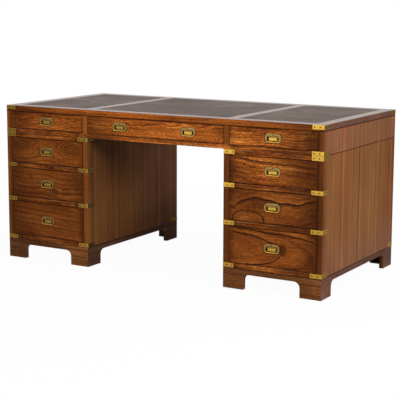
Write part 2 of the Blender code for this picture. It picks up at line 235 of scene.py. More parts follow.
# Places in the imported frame
TOP_LOW, TOP_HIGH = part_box("top_board")
HALF_WIDTH, HALF_DEPTH, HEIGHT = TOP_HIGH
SIDE_LOW, SIDE_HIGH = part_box("left_outer_side")
JOINT_LEVELS = (SIDE_LOW.z, SIDE_HIGH.z, TOP_LOW.z)
STILE_INNER = -SIDE_HIGH.x
HALF_KNEEHOLE = -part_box("left_inner_side")[1].x
STRAP_ENDS = (HALF_WIDTH - STRAP_LEG, HALF_KNEEHOLE + STRAP_LEG)
RAIL_BOARDS = ("cap_board", "upper_rail_board", "lower_rail_board", "bottom_board")
RAIL_HEADS = [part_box(node)[1].z for node in ("frieze_base", *(f"left_{board}" for board in RAIL_BOARDS))]


# Mesh helpers


def assign(thing, **values):
    """Sets properties by name, and returns the thing."""
    for key, value in values.items():
        setattr(thing, key, value)
    return thing


def link(name, data):
    """A new object in the scene."""
    made = bpy.data.objects.new(name, data)
    bpy.context.scene.collection.objects.link(made)
    return made


def mesh_of(name, form):
    """Turns a bmesh into a mesh, and frees it."""
    mesh = bpy.data.meshes.new(name)
    form.to_mesh(mesh)
    form.free()
    return mesh


def new_piece(name, form, materials, body, replaced=()):
    """A piece made from a bmesh or a mesh, with its vertices in the frame's coordinates."""
    mesh = form if isinstance(form, bpy.types.Mesh) else mesh_of(name, form)
    for material in materials:
        mesh.materials.append(material)
    for polygon in mesh.polygons:
        polygon.use_smooth = True
    piece = link(name, mesh)
    even_normals(piece)
    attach(piece, body)
    if replaced:
        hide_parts(*replaced)
    return piece


def modify(piece, name, kind, **settings):
    assign(piece.modifiers.new(name, kind), **settings)


def even_normals(piece):
    modify(piece, "even_normals", "WEIGHTED_NORMAL", keep_sharp=True, weight=FACE_WEIGHT)


def soften_case(node):
    """Rounds the arrises of a packed board with modifiers; its mesh stays as it is."""
    limit = {"limit_method": "ANGLE", "angle_limit": EDGE_ANGLE}
    modify(node, "weld", "WELD", merge_threshold=WELD_GAP)
    modify(node, "arris", "BEVEL", width=CASE_EDGE, segments=EDGE_STEPS, **limit)
    even_normals(node)


def round_edges(form, edges, width, steps):
    bmesh.ops.bevel(form, geom=edges, offset=width, segments=steps, profile=ROUND_PROFILE, affect="EDGES")


def tidy_form(form):
    """Turns all the faces of a bmesh outward."""
    bmesh.ops.recalc_face_normals(form, faces=form.faces[:])


def add_box(form, low, high, edge, steps=EDGE_STEPS, material=0):
    """Adds a box with rounded edges to a bmesh."""
    low, high = Vector(low), Vector(high)
    part = bmesh.new()
    bmesh.ops.create_cube(part, size=1.0, matrix=Matrix.Diagonal((*(high - low), 1.0)))
    bmesh.ops.translate(part, verts=part.verts, vec=(low + high) / 2)
    round_edges(part, part.edges[:], edge, steps)
    join_part(form, part, material)


def join_part(form, part, material):
    """Moves the faces of one bmesh into another."""
    moved = {vert: form.verts.new(vert.co) for vert in part.verts}
    for face in part.faces:
        copy = form.faces.new([moved[vert] for vert in face.verts])
        copy.material_index = material
    part.free()


def add_loft(form, loops, material=0):
    """Joins loops of equal length row by row, and closes the first and the last."""
    rows = [[form.verts.new(point) for point in loop] for loop in loops]
    count = len(rows[0])
    faces = []
    for row, following in zip(rows, rows[1:]):
        for i in range(count):
            j = (i + 1) % count
            faces.append((row[i], row[j], following[j], following[i]))
    for corners in (*faces, rows[0][::-1], rows[-1]):
        form.faces.new(corners).material_index = material


def lofted(loops, material=0):
    """A new bmesh with one loft."""
    form = bmesh.new()
    add_loft(form, loops, material)
    tidy_form(form)
    return form


def circle(centre, radius, sides, across, up):
    """Points of a circle in the plane of two directions."""
    turns = [2 * math.pi * i / sides for i in range(sides)]
    return [centre + across * (radius * math.cos(turn)) + up * (radius * math.sin(turn)) for turn in turns]


def turned(start, along, profile, sides):
    """Loops of a turned form: (distance along the axis, radius) pairs from one end to the other."""
    along = Vector(along)
    across = along.orthogonal().normalized()
    up = along.cross(across)
    return [circle(start + along * far, radius, sides, across, up) for far, radius in profile]


# Outlines of the flush handle


def rounded_distance(x, z, half, foot, head, foot_corner, head_corner):
    """Signed distance from a rectangle with rounded corners."""
    middle = (foot + head) / 2
    corner = head_corner if z > middle else foot_corner
    dx = abs(x) - half + corner
    dz = abs(z - middle) - (head - foot) / 2 + corner
    outside = math.hypot(max(dx, 0), max(dz, 0))
    return outside + min(max(dx, dz), 0) - corner


def outline(depth, *shape):
    """Points at a depth where rays from the pan's middle meet a rounded rectangle, given as above."""
    points = []
    for i in range(OUTLINE_POINTS):
        turn = 2 * math.pi * i / OUTLINE_POINTS
        ray = Vector((PLATE_WIDTH * math.cos(turn), PLATE_HEIGHT * math.sin(turn)))
        near, far = 0.0, 1.0
        for _ in range(OUTLINE_HALVINGS):
            middle = (near + far) / 2
            inside = rounded_distance(ray.x * middle, RAY_ORIGIN + ray.y * middle, *shape) < 0
            near, far = (middle, far) if inside else (near, middle)
        points.append(Vector((ray.x * near, depth, RAY_ORIGIN + ray.y * near)))
    return points


def plate_loop(grow, depth):
    half, tall = PLATE_WIDTH / 2 + grow, PLATE_HEIGHT / 2 + grow
    corner = PLATE_CORNER + grow
    return outline(depth, half, -tall, tall, corner, corner)


def pan_loop(grow, depth):
    corners = (PAN_FOOT_CORNER + grow, PAN_TOP_CORNER + grow)
    return outline(depth, PAN_HALF + grow, PAN_FOOT - grow, PAN_HEAD + grow, *corners)


# Shader helpers

SEED_STEPS = (1.0, 1.7, 2.3)

# Numbers of a mix node's colour sockets
MIX_INPUTS = (6, 7)
MIX_OUTPUT = 2


class Graph:
    """Adds and links the nodes of one material, or of the world."""

    def __init__(self, name, kind="materials"):
        self.owner = getattr(bpy.data, kind).new(name)
        self.owner.use_nodes = True
        self.tree = self.owner.node_tree

    def join(self, socket, value):
        """Links a value to an input, or sets a plain number or colour."""
        if isinstance(value, Value):
            self.tree.links.new(value.socket, socket)
        else:
            socket.default_value = (*value, 1.0) if isinstance(value, tuple) else value

    def node(self, kind, *inputs, **settings):
        """A node with settings, and with values for its first inputs."""
        made = assign(self.tree.nodes.new(kind), **settings)
        for socket, value in zip(made.inputs, inputs):
            self.join(socket, value)
        return made

    def feed(self, node, **values):
        """Gives values to inputs by name, where underscores stand for spaces, and reads the first output."""
        for key, value in values.items():
            self.join(node.inputs[key.replace("_", " ")], value)
        return Value(self, node.outputs[0])

    def add(self, kind, *inputs, **settings):
        """The first output of a new node."""
        return self.feed(self.node(kind, *inputs, **settings))

    def set(self, **values):
        """Feeds the main shader."""
        self.feed(self.tree.nodes["Principled BSDF"], **values)

    def point(self):
        """A point in the frame's coordinates."""
        return Value(self, self.node("ShaderNodeTexCoord").outputs["Object"])

    def place(self):
        """The x, y and z of that point."""
        return [Value(self, socket) for socket in self.node("ShaderNodeSeparateXYZ", self.point()).outputs]

    def bump(self, height, strength, distance):
        node = self.node("ShaderNodeBump")
        self.set(Normal=self.feed(node, Height=height, Strength=strength, Distance=distance))

    def seen(self):
        """1 for rays that see a thing straight, in a reflection or through glass."""
        path = self.node("ShaderNodeLightPath")
        kinds = ("Camera", "Glossy", "Transmission")
        return largest([Value(self, path.outputs[f"Is {kind} Ray"]) for kind in kinds])

    def end(self, kind, share, unseen, seen):
        """Ends the tree with a mix of two shaders."""
        self.node(kind, self.add("ShaderNodeMixShader", share, unseen, seen))


class Value:
    """An output of a node. Signs and methods add the nodes that work on it."""

    def __init__(self, graph, socket):
        self.graph = graph
        self.socket = socket

    def math(self, operation, *values):
        return self.graph.add("ShaderNodeMath", self, *values, operation=operation)

    def __add__(self, other):
        return self.math("ADD", other)

    def __sub__(self, other):
        return self.math("SUBTRACT", other)

    def __rsub__(self, other):
        return self.graph.add("ShaderNodeMath", other, self, operation="SUBTRACT")

    def __mul__(self, other):
        return self.math("MULTIPLY", other)

    def __truediv__(self, other):
        return self.math("DIVIDE", other)

    def __abs__(self):
        return self.math("ABSOLUTE")

    def noise(self, detail, roughness, kind, source):
        node = self.graph.node("ShaderNodeTexNoise", noise_dimensions=kind)
        return self.graph.feed(node, **{source: self}, Scale=1.0, Detail=detail, Roughness=roughness)

    def line_noise(self, detail, roughness):
        return self.noise(detail, roughness, "1D", "W")

    def smooth(self, low, high, start=0.0, end=1.0, kind="SMOOTHSTEP"):
        """Goes from start to end as the value goes from low to high."""
        return self.graph.add("ShaderNodeMapRange", self, low, high, start, end, interpolation_type=kind)

    def spread(self, *ends):
        """As smooth, but in a straight line."""
        return self.smooth(*ends, kind="LINEAR")

    def ramp(self, stops):
        node = self.graph.node("ShaderNodeValToRGB", self)
        elements = node.color_ramp.elements
        while len(elements) < len(stops):
            elements.new(1.0)
        for element, (position, colour) in zip(elements, stops):
            assign(element, position=position, color=(*colour, 1.0))
        return self.graph.feed(node)

    def blend(self, a, b):
        """The colour at this share of the way from a to b."""
        node = self.graph.node("ShaderNodeMix", self, data_type="RGBA")
        for number, colour in zip(MIX_INPUTS, (a, b)):
            self.graph.join(node.inputs[number], colour)
        return Value(self.graph, node.outputs[MIX_OUTPUT])

    def curve(self, points):
        """A smooth curve through (place, height) points, all between 0 and 1."""
        node = self.graph.node("ShaderNodeFloatCurve")
        node.mapping.extend = "HORIZONTAL"
        spots = node.mapping.curves[0].points
        spots[0].location = points[0]
        spots[1].location = points[-1]
        for place, height in points[1:-1]:
            spots.new(place, height)
        node.mapping.update()
        return self.graph.feed(node, Value=self)


def fold(operation, values):
    """Takes values together two by two."""
    result = values[0]
    for value in values[1:]:
        result = result.math(operation, value)
    return result


def largest(values):
    return fold("MAXIMUM", values)


def least(values):
    return fold("MINIMUM", values)


def nearest(value, places):
    """How far a value is from the nearest of some places."""
    return least([abs(value - place) for place in places])


def hypot(a, b):
    return (a * a + b * b).math("SQRT")


def wave(along, height, length, phase):
    return along.math("MULTIPLY_ADD", 2 * math.pi / length, phase).math("COSINE") * height


def vector(x, y, z):
    return x.graph.add("ShaderNodeCombineXYZ", x, y, z)


def stretched(place, scales, seed=0.0):
    """The place with each coordinate scaled, and moved by a seed."""
    rows = zip(place, scales, SEED_STEPS)
    return vector(*[part.math("MULTIPLY_ADD", scale, seed * step) for part, scale, step in rows])


def noise(place, pattern, seed=0.0, fine=1.0):
    """A noise with scales along three directions, a seed of its own, detail and roughness."""
    scales, own_seed, detail, roughness = pattern
    spot = stretched(place, [fine * scale for scale in scales], seed + own_seed)
    return spot.noise(detail, roughness, "3D", "Vector")


# Wood palettes: (tone, colour) stops

FIGURED = [
    (0.00, (0.034, 0.007, 0.0008)),
    (0.25, (0.100, 0.023, 0.003)),
    (0.50, (0.190, 0.049, 0.006)),
    (0.75, (0.310, 0.090, 0.013)),
    (1.00, (0.500, 0.172, 0.034)),
]
PLAIN = [
    (0.00, (0.110, 0.034, 0.009)),
    (0.45, (0.206, 0.071, 0.022)),
    (0.75, (0.266, 0.096, 0.033)),
    (1.00, (0.340, 0.136, 0.052)),
]
OLIVE = [
    (0.00, (0.100, 0.039, 0.010)),
    (0.45, (0.206, 0.083, 0.024)),
    (0.75, (0.268, 0.114, 0.037)),
    (1.00, (0.350, 0.162, 0.059)),
]
BROWN = [
    (0.00, (0.045, 0.014, 0.004)),
    (0.40, (0.112, 0.038, 0.010)),
    (0.75, (0.175, 0.062, 0.018)),
    (1.00, (0.280, 0.108, 0.035)),
]
DEEP = [
    (0.00, (0.030, 0.007, 0.001)),
    (0.40, (0.080, 0.020, 0.004)),
    (0.75, (0.140, 0.039, 0.008)),
    (1.00, (0.250, 0.086, 0.021)),
]
AMBER = [
    (0.00, (0.070, 0.018, 0.003)),
    (0.40, (0.170, 0.047, 0.008)),
    (0.75, (0.260, 0.083, 0.017)),
    (1.00, (0.390, 0.145, 0.036)),
]
DUSTY = [
    (0.00, (0.080, 0.032, 0.020)),
    (0.45, (0.138, 0.058, 0.036)),
    (1.00, (0.225, 0.104, 0.068)),
]
PALE = [
    (0.00, (0.250, 0.150, 0.072)),
    (0.50, (0.390, 0.255, 0.135)),
    (1.00, (0.500, 0.350, 0.205)),
]
# Dark colour of veins and pores, which painted shade also darkens towards
VEIN_AND_SHADE = (0.020, 0.0045, 0.0006)
# Pale colour of a painted highlight along the rails' upper arrises
ARRIS_HIGHLIGHT_COLOUR = (0.330, 0.180, 0.110)
ARRIS_HIGHLIGHT = [(0.0, ARRIS_HIGHLIGHT_COLOUR), (1.0, ARRIS_HIGHLIGHT_COLOUR)]


def lifted(palette, lift):
    """A palette made paler, or darker with a lift below 1."""
    return [(position, tuple(lift * part for part in colour)) for position, colour in palette]


PALE_GREYISH_BROWN = lifted(DUSTY, 1.45)

# Figure of a board where nothing else is said, in the board's own along, across and deep directions.
# heart and lean place the middle of the log. sway bends it sideways and dive bends it inward: height, length
# and phase of a wave. A smaller contrast is harder. lift makes the whole board paler, partly for its own
# tone and partly as painted light, and dust is the share of bleached wood. edge is the painted shade in the
# gaps at the edges, and fades are the reach and depth of painted shade from the left and right. drawn holds
# single veins, and with follow the grain runs along the first of them.
GRAIN = {
    "heart": (0.0, 0.3),
    "lean": (0.0, 0.0),
    "sway": (0.0, 1.0, 0.0),
    "dive": (0.0, 1.0, 0.0),
    "length": 0.25,
    "wave": 0.010,
    "rings": 60.0,
    "band": 0.36,
    "fibre": 0.24,
    "mottle": 0.46,
    "cloud": 0.46,
    "vein": 0.40,
    "vein_width": 0.035,
    "contrast": 0.19,
    "fine": 1.5,
    "lift": 1.0,
    "dust": 0.0,
    "edge": 0.86,
    "fades": ((0.10, 0.62), (0.10, 0.62)),
    "drawn": (),
    "follow": False,
}

# Noises in wood: scales along, across and into the board, seed, detail and roughness
SLOW_NOISE = ((1.0, 2.2, 2.2), 0.0, 1.5, 0.5)
QUICK_NOISE = ((3.4, 6.0, 6.0), 31.0, 3.0, 0.5)
FIBRE_NOISE = ((6.0, 210.0, 210.0), 0.0, 3.0, 0.6)
MOTTLE_NOISE = ((40.0, 150.0, 150.0), 3.0, 3.0, 0.6)
CLOUD_NOISE = ((4.0, 9.0, 9.0), 9.0, 2.0, 0.5)
PORE_NOISE = ((70.0, 1500.0, 1500.0), 0.0, 1.0, 0.5)
WOBBLE_NOISE = ((22.0, 8.0, 8.0), 0.0, 3.0, 0.5)
STREAK_NOISE = ((0.9, 9.0, 9.0), 40.0, 3.0, 0.5)
ARRIS_HIGHLIGHT_NOISE = ((14.0, 14.0, 260.0), 6.0, 3.0, 0.5)

# Noises across the rings: detail and roughness
BAND_NOISE = (4.0, 0.56)
VEIN_NOISE = (1.0, 0.5)

# Wood surface: a shade or share is given as two limits of a place, and often the shares at those limits
QUICK_DRIFT = 0.6
VEIN_RINGS = 0.55
VEIN_SEED = 5.0
VEIN_GATE = (0.40, 0.58)
PORE_RANGE = (0.60, 0.70)
PORE_DARK = 0.45
FIBRE_DEPTH = 0.5
SHEEN = (0.3, 0.7, 0.41, 0.29)
GLOSS = 0.08
UPRIGHT_GLOSS = 0.05
WOOD_RELIEF = (0.18, 0.0004)
DRAWN_CORE = 0.3
DRAWN_UNDER = 0.5
DRAWN_LIP = 0.001
DRAWN_END = 0.05
DRAWN_WOBBLE = 0.09
KNOT_SOFT = 0.005
# Painted shade on a drawer front, in the gaps along its edges and around its handle plates
EDGE_SHADE_REACH = 0.0075
PLATE_SHADE = (0.0, 0.0075, 0.60, 0.0)
STRAP_SHADE = (0.0, 0.045, 0.55, 0.0)
ARRIS_HIGHLIGHT_BAND = (0.0006, 0.0036, 0.65, 0.0)
ARRIS_HIGHLIGHT_RANGE = (0.46, 0.62)
OVER_PEDESTAL = (0.30, 0.50)
JOINT_SHADE = (0.0006, 0.0036, 0.85, 0.0)
SEAM_SHADE = (0.0004, 0.0030, 0.5, 0.0)
LIPPING = (HALF_DEPTH - 0.0022, HALF_DEPTH - 0.0016)

# Panels on the outside: streaks, bleached feet, and painted shade beside the drawers and at the ends
STREAK_FALL = -0.40
STREAK_RANGE = (0.28, 0.50)
BLEACHED_FOOT = (0.10, 0.30, 0.5)
STILE_SHADE = (STILE_INNER, STILE_INNER + 0.014, 0.6, 0.0)
STILE_LIMIT = STILE_INNER - 0.01
REAR_SHADE = (0.10, HALF_DEPTH, 0.0, 0.12)
FORE_SHADE = (-HALF_DEPTH, 0.07 - HALF_DEPTH, 0.34, 0.0)

# Panels in the kneehole, over depth or height: a greyer rear, and painted shade at the front, low down and
# under the frieze, with less of it low at the front
KNEE_GREYER_REAR = (-0.15, 0.30, 0.0, 0.5)
KNEE_FRONT = (-0.25, 0.10, 0.52, 0.06)
KNEE_PALE_FOOT = (0.20, 0.50, 0.42, 0.0)
KNEE_PALE_NEAR = (-0.30, -0.20, 1.0, 0.0)
KNEE_FOOT = (0.10, 0.36, 0.48, 0.0)
KNEE_FOOT_FROM = (-0.29, -0.20)
KNEE_HEAD = (0.48, SIDE_HIGH.z, 0.0, 0.50)

# Mitred frames: the top and the plinths
MITRE = (-0.0002, 0.0002)
MITRE_SEAM = (0.0, 0.0008, 0.7, 0.0)
FRAME_JOINT = (0.0006, 0.0050, 0.85, 0.0)
OUTER_FACE = (0.0012, 0.0024, 1.0, 0.0)
TOP_FACE = (HEIGHT - 0.0012, HEIGHT - 0.0003)
TOP_POLISH = 0.42
TOP_COAT = 0.14
# Painted shade on a plinth's inner faces, by depth behind its outer faces
PLINTH_INSIDE = (0.006, 0.018, 0.0, 0.85)
PALER_REACH = 0.10
PALER_LIFT = 1.7

# Painted shade along the desk: (share of the width from the left, strength) points
RAIL_SHADE = (
    (0.0, 0.55), (0.06, 0.40), (0.13, 0.0), (0.5, 0.1), (0.76, 0.20), (0.83, 0.10), (0.90, 0.45), (1.0, 0.68),
)
FRIEZE_SHADE = (
    (0.0, 0.78), (0.14, 0.0), (0.34, 0.45), (0.42, 0.0), (0.60, 0.52), (0.77, 0.0), (0.87, 0.50), (1.0, 0.84),
)
TOP_SHADE = (
    (0.0, 0.82), (0.12, 0.48), (0.26, 0.15), (0.50, 0.0),
    (0.66, 0.42), (0.82, 0.40), (0.92, 0.60), (1.0, 0.92),
)


# Wood


def figure(seed, **changes):
    """The figure of one board."""
    return {**GRAIN, "seed": seed, **changes}


def vein_line(*points, strength=0.92, width=0.0030, soft=0.016):
    """A dark vein across a front, through (share along, share down) points, with shade under it."""
    return {"points": points, "strength": strength, "width": width, "soft": soft, "filled": False}


def vein_ring(middle, half, strength, width=0.0050, soft=0.016, filled=False):
    """A dark closed vein about a middle, with half sizes, all as shares of the front."""
    made = {"middle": middle, "half": half, "filled": filled}
    return {**made, "strength": strength, "width": width, "soft": soft}


def vein_knot(middle, ratio, strength, sizes):
    """Rings about one middle. ratio is their share along over their share down."""
    return [vein_ring(middle, (ratio * size, size), strength, soft=KNOT_SOFT) for size in sizes]


def vein_gap(along, down, height, vein):
    """How far below a drawn vein a point is; along and down are shares of the front."""
    if "points" in vein:
        return (down - along.curve(vein["points"])) * height
    rows = zip((along, down), vein["middle"], vein["half"])
    parts = [(share - middle) / half for share, middle, half in rows]
    return (hypot(*parts) - 1.0) * (vein["half"][1] * height)


def vein_dark(along, gap, vein):
    """Share of dark colour of a drawn vein: a thin core with soft shade on one side, or a soft patch."""
    soft, width = vein["soft"], vein["width"]
    if vein["filled"]:
        return gap.smooth(-soft, soft, vein["strength"], 0.0)
    under = gap.smooth(0.0, soft, DRAWN_UNDER, 0.0) * gap.smooth(-DRAWN_LIP, 0.0)
    dark = largest([abs(gap).smooth(DRAWN_CORE * width, width, 1.0, 0.0), under])
    if "points" in vein:
        start, end = vein["points"][0][0], vein["points"][-1][0]
        if start > 0.0:
            dark = dark * along.smooth(start, start + DRAWN_END)
        if end < 1.0:
            dark = dark * along.smooth(end - DRAWN_END, end, 1.0, 0.0)
    return dark * vein["strength"]


def bend(place, look):
    """Sideways drift of the grain: one long sway, slow waves and small ones."""
    height, length, phase = look["sway"]
    slow = noise(place, SLOW_NOISE, look["seed"], 1 / look["length"]) - 0.5
    quick = noise(place, QUICK_NOISE, look["seed"], 1 / look["length"]) - 0.5
    drift = slow * (2 * look["wave"]) + quick * (QUICK_DRIFT * look["wave"])
    return drift + wave(place[0], -height, length, phase) if height else drift


def heart_distance(place, look):
    """How far a point is from the heart of its log, which sets the ring it lies in."""
    along, across, deep = place
    heart_across, heart_deep = look["heart"]
    lean_across, lean_deep = look["lean"]
    side = across + along.math("MULTIPLY_ADD", -lean_across, -heart_across) + bend(place, look)
    inward = deep + along.math("MULTIPLY_ADD", -lean_deep, -heart_deep)
    if look["dive"][0]:
        inward = inward + wave(along, *look["dive"])
    return hypot(side, inward)


def grain_tone(place, look, reach):
    """Tone from 0 (dark) to 1 (light), the share of dark vein, and the fibre."""
    rings, seed = look["rings"], look["seed"]
    parts = {
        "band": reach.math("MULTIPLY_ADD", rings, seed).line_noise(*BAND_NOISE),
        "fibre": noise(place, FIBRE_NOISE, seed),
        "mottle": noise(place, MOTTLE_NOISE, seed, look["fine"]),
        "cloud": noise(place, CLOUD_NOISE, seed),
    }
    total = fold("ADD", [part * look[key] for key, part in parts.items()])
    middle = sum(look[key] for key in parts) / 2
    tone = total.spread(middle - look["contrast"], middle + look["contrast"])
    line = reach.math("MULTIPLY_ADD", VEIN_RINGS * rings, seed + VEIN_SEED).line_noise(*VEIN_NOISE)
    vein = abs(line - 0.5).smooth(0.0, look["vein_width"], 1.0, 0.0)
    return tone, vein * parts["cloud"].smooth(*VEIN_GATE) * look["vein"], parts["fibre"]


def finish_wood(graph, place, look, palette, shade=None, others=(), reach=None, gloss=GLOSS):
    """Colour, pores, sheen and relief of a polished board. others are (share, palette) pairs laid over it."""
    tone, vein, fibre = grain_tone(place, look, reach or heart_distance(place, look))
    colour = tone.ramp(lifted(palette, look["lift"]))
    for share, other in others:
        colour = share.blend(colour, tone.ramp(other))
    pore = noise(place, PORE_NOISE, look["seed"]).smooth(*PORE_RANGE)
    # Veins, pores and painted shade all darken the colour towards one dark colour
    for share in filter(None, (vein, pore * PORE_DARK, shade)):
        colour = share.blend(colour, VEIN_AND_SHADE)
    graph.set(Base_Color=colour, Roughness=fibre.spread(*SHEEN), Specular_IOR_Level=gloss)
    graph.bump(fibre * FIBRE_DEPTH - pore, *WOOD_RELIEF)
    return graph.owner


def plate_gap(x, z, place):
    """How far a point is from a handle's plate."""
    rows = ((x, place.x, PLATE_WIDTH / 2), (z, place.z, PLATE_HEIGHT / 2))
    past = [abs(value - middle) - (half - PLATE_CORNER) for value, middle, half in rows]
    return hypot(*[part.math("MAXIMUM", 0.0) for part in past]) - PLATE_CORNER


def front_wood(name, low, high, look, places):
    """A drawer front: grain runs along x, and the heart is placed from the middle of the front."""
    graph = Graph(name)
    x, y, z = graph.place()
    middle, size = (low + high) / 2, high - low
    place = (x - middle.x, z - middle.z, y - low.y)
    edges = (x - low.x, high.x - x, z - low.z, high.z - z)
    wobble = noise(place, WOBBLE_NOISE, look["seed"]) - 0.5
    along = edges[0] * (1 / size.x)
    down = edges[3] * (1 / size.z) + wobble * DRAWN_WOBBLE
    gaps = [vein_gap(along, down, size.z, vein) for vein in look["drawn"]]
    (left_reach, left_dark), (right_reach, right_dark) = look["fades"]
    # Painted shade in the edge gaps, around the plates and towards the ends; the drawn veins are the wood's
    # figure
    shades = [
        least(edges).smooth(0.0, EDGE_SHADE_REACH, look["edge"], 0.0),
        least([plate_gap(x, z, handle) for handle in places]).smooth(*PLATE_SHADE),
        along.smooth(0.0, left_reach, left_dark, 0.0),
        along.smooth(1.0 - right_reach, 1.0, 0.0, right_dark),
        *(vein_dark(along, gap, vein) for gap, vein in zip(gaps, look["drawn"])),
    ]
    reach = gaps[0] + bend(place, look) if look["follow"] else None
    return finish_wood(graph, place, look, FIGURED, largest(shades), reach=reach)


def board_wood(name, order, look, palette):
    """A plain board whose grain runs along the first axis of the order."""
    graph = Graph(name)
    axes = graph.place()
    return finish_wood(graph, [axes[i] for i in order], look, palette)


def shade_along(x, points):
    return x.spread(-HALF_WIDTH, HALF_WIDTH).curve(points)


def rail_wood(name, lift, shade_points, outer_palette=None):
    """Rails with grain along x, a painted highlight on their upper arrises, and darker beside the straps.

    outer_palette is the colour of a long rail's ends, over the pedestals.
    """
    graph = Graph(name)
    x, y, z = graph.place()
    wide = abs(x)
    shades = [nearest(wide, STRAP_ENDS).smooth(*STRAP_SHADE), shade_along(x, shade_points)]
    highlight_breaks = noise((x, y, z), ARRIS_HIGHLIGHT_NOISE)
    # Painted highlight along the upper arrises, broken into patches by a noise
    others = [(nearest(z, RAIL_HEADS).smooth(*ARRIS_HIGHLIGHT_BAND) * highlight_breaks.smooth(*ARRIS_HIGHLIGHT_RANGE), ARRIS_HIGHLIGHT)]
    if outer_palette:
        others.insert(0, (wide.smooth(*OVER_PEDESTAL), outer_palette))
    return finish_wood(graph, (x, z, y), {**RAIL_LOOK, "lift": lift}, FIGURED, largest(shades), others)


def outer_tones(place, look, lipping):
    """Laid-over palettes and painted shades of a panel on the outside of the desk."""
    x, y, z = place
    wide = abs(x)
    streaks = noise((z, y, x), STREAK_NOISE, look["seed"])
    middle = abs(y).math("MULTIPLY_ADD", STREAK_FALL, streaks)
    shades = [
        wide.smooth(*STILE_SHADE) * lipping * wide.math("GREATER_THAN", STILE_LIMIT),
        y.smooth(*REAR_SHADE),
        y.smooth(*FORE_SHADE) * (1.0 - lipping),
    ]
    return [(middle.smooth(*STREAK_RANGE), OLIVE), (z.smooth(*BLEACHED_FOOT, look["dust"]), PALE_GREYISH_BROWN)], shades


def kneehole_tones(y, z, lipping):
    """The same for a panel in the kneehole: greyer towards the rear, with painted shade at the front and
    below.
    """
    inside = 1.0 - lipping
    # Less painted shade low down at the front
    pale = z.smooth(*KNEE_PALE_FOOT) * y.smooth(*KNEE_PALE_NEAR)
    shades = [
        y.smooth(*KNEE_FRONT) * (1.0 - pale) * inside,
        z.smooth(*KNEE_FOOT) * y.smooth(*KNEE_FOOT_FROM),
        z.smooth(*KNEE_HEAD) * inside,
    ]
    return [(y.smooth(*KNEE_GREYER_REAR), PALE_GREYISH_BROWN)], shades


def upright_wood(name, look, lipping_palette, shaded=False, seams=()):
    """Panels with vertical grain, and lippings of another wood on their front and rear edges.

    A shaded panel faces the kneehole, and gets painted shade. Seams are the depths of glued joints.
    """
    graph = Graph(name)
    x, y, z = graph.place()
    lipping = abs(y).smooth(*LIPPING)
    others, shades = kneehole_tones(y, z, lipping) if shaded else outer_tones((x, y, z), look, lipping)
    others.append((lipping, lipping_palette))
    shades.append(nearest(z, JOINT_LEVELS).smooth(*JOINT_SHADE))
    shades += [abs(y - seam).smooth(*SEAM_SHADE) for seam in seams]
    palette = OLIVE if shaded else PLAIN
    return finish_wood(graph, (z, y, x), look, palette, largest(shades), others, gloss=UPRIGHT_GLOSS)


def mitred_wood(name, look, palette, ends, half, joint, middle_x=0.0, bands=None, paler=None):
    """A frame of boards mitred at the corners: the grain follows each side of the rectangle.

    half holds the half sizes, and ends is the palette of the outer faces to the left and right. joint is
    the level where the frame meets the case. The top has a polished face, painted shade along its front and
    rear edges, and bands across it: their x, half width and half length. A plinth has painted shade on its
    inner faces. paler is the x from which a plinth is paler.
    """
    graph = Graph(name)
    x, y, z = graph.place()
    x_in = half[0] - abs(x - middle_x)
    y_in = half[1] - abs(y)
    lead = y_in - x_in
    turn = lead.smooth(*MITRE)
    others = [(x_in.smooth(*OUTER_FACE), ends)]
    shades = [abs(lead).smooth(*MITRE_SEAM), abs(z - joint).smooth(*FRAME_JOINT)]
    if bands:
        across = abs(abs(x) - bands[0]).math("LESS_THAN", bands[1])
        turn = largest([turn, across * abs(y).math("LESS_THAN", bands[2])])
        upper = z.smooth(*TOP_FACE)
        others.append((upper, DEEP))
        graph.set(Coat_Weight=upper * TOP_POLISH, Coat_Roughness=TOP_COAT)
        # Painted shade along the top's front and rear edges
        shades.append(shade_along(x, TOP_SHADE) * y_in.smooth(*OUTER_FACE))
    else:
        # Painted shade on the plinth's inner faces
        shades.append(least([x_in, y_in]).smooth(*PLINTH_INSIDE))
    if paler is not None:
        others.insert(0, (x.smooth(paler - PALER_REACH, paler), lifted(palette, PALER_LIFT)))
    place = ((y - x) * turn + x, (x - y) * turn + y, z)
    return finish_wood(graph, place, look, palette, largest(shades), others)


# Brass and leather

PATCH_NOISE = ((38.0, 38.0, 38.0), 3.0, 4.0, 0.6)
SPECK_NOISE = ((420.0, 420.0, 420.0), 8.0, 2.0, 0.6)
SCRATCH_NOISE = ((130.0, 2600.0, 2600.0), 5.0, 2.0, 0.7)
PATCH_SHARE = 0.75
TARNISH_RANGE = (0.42, 0.68)
TARNISH_ROUGH = 0.25
SCRATCH_RANGE = (0.3, 0.7)
SCRATCH_ROUGH = (-0.04, 0.05)
SCRATCH_DEPTH = 0.4
BRASS_RELIEF = (0.05, 0.0002)
WARP_NOISE = ((240.0, 240.0, 240.0), 0.0, 2.0, 0.5)
PEBBLE_SCALES = (620.0, 620.0, 620.0)
CREASE_RANGE = (0.0, 0.22)
CREASE_DARK = (0.0, 1.0, 0.55, 0.0)
HIDE_NOISE = ((5.0, 5.0, 5.0), 2.0, 4.0, 0.6)
HIDE_RANGE = (0.32, 0.70)
HIDE_SHEEN = (0.3, 0.7, 0.58, 0.48)
HIDE_GLOSS = 0.175
HIDE_SWELL = 0.5
HIDE_RELIEF = (0.22, 0.0004)
HIDE_STOPS = [(0.0, (0.047, 0.024, 0.015)), (0.6, (0.073, 0.037, 0.022)), (1.0, (0.112, 0.059, 0.036))]
HIDE_CREASE = (0.012, 0.009, 0.008)

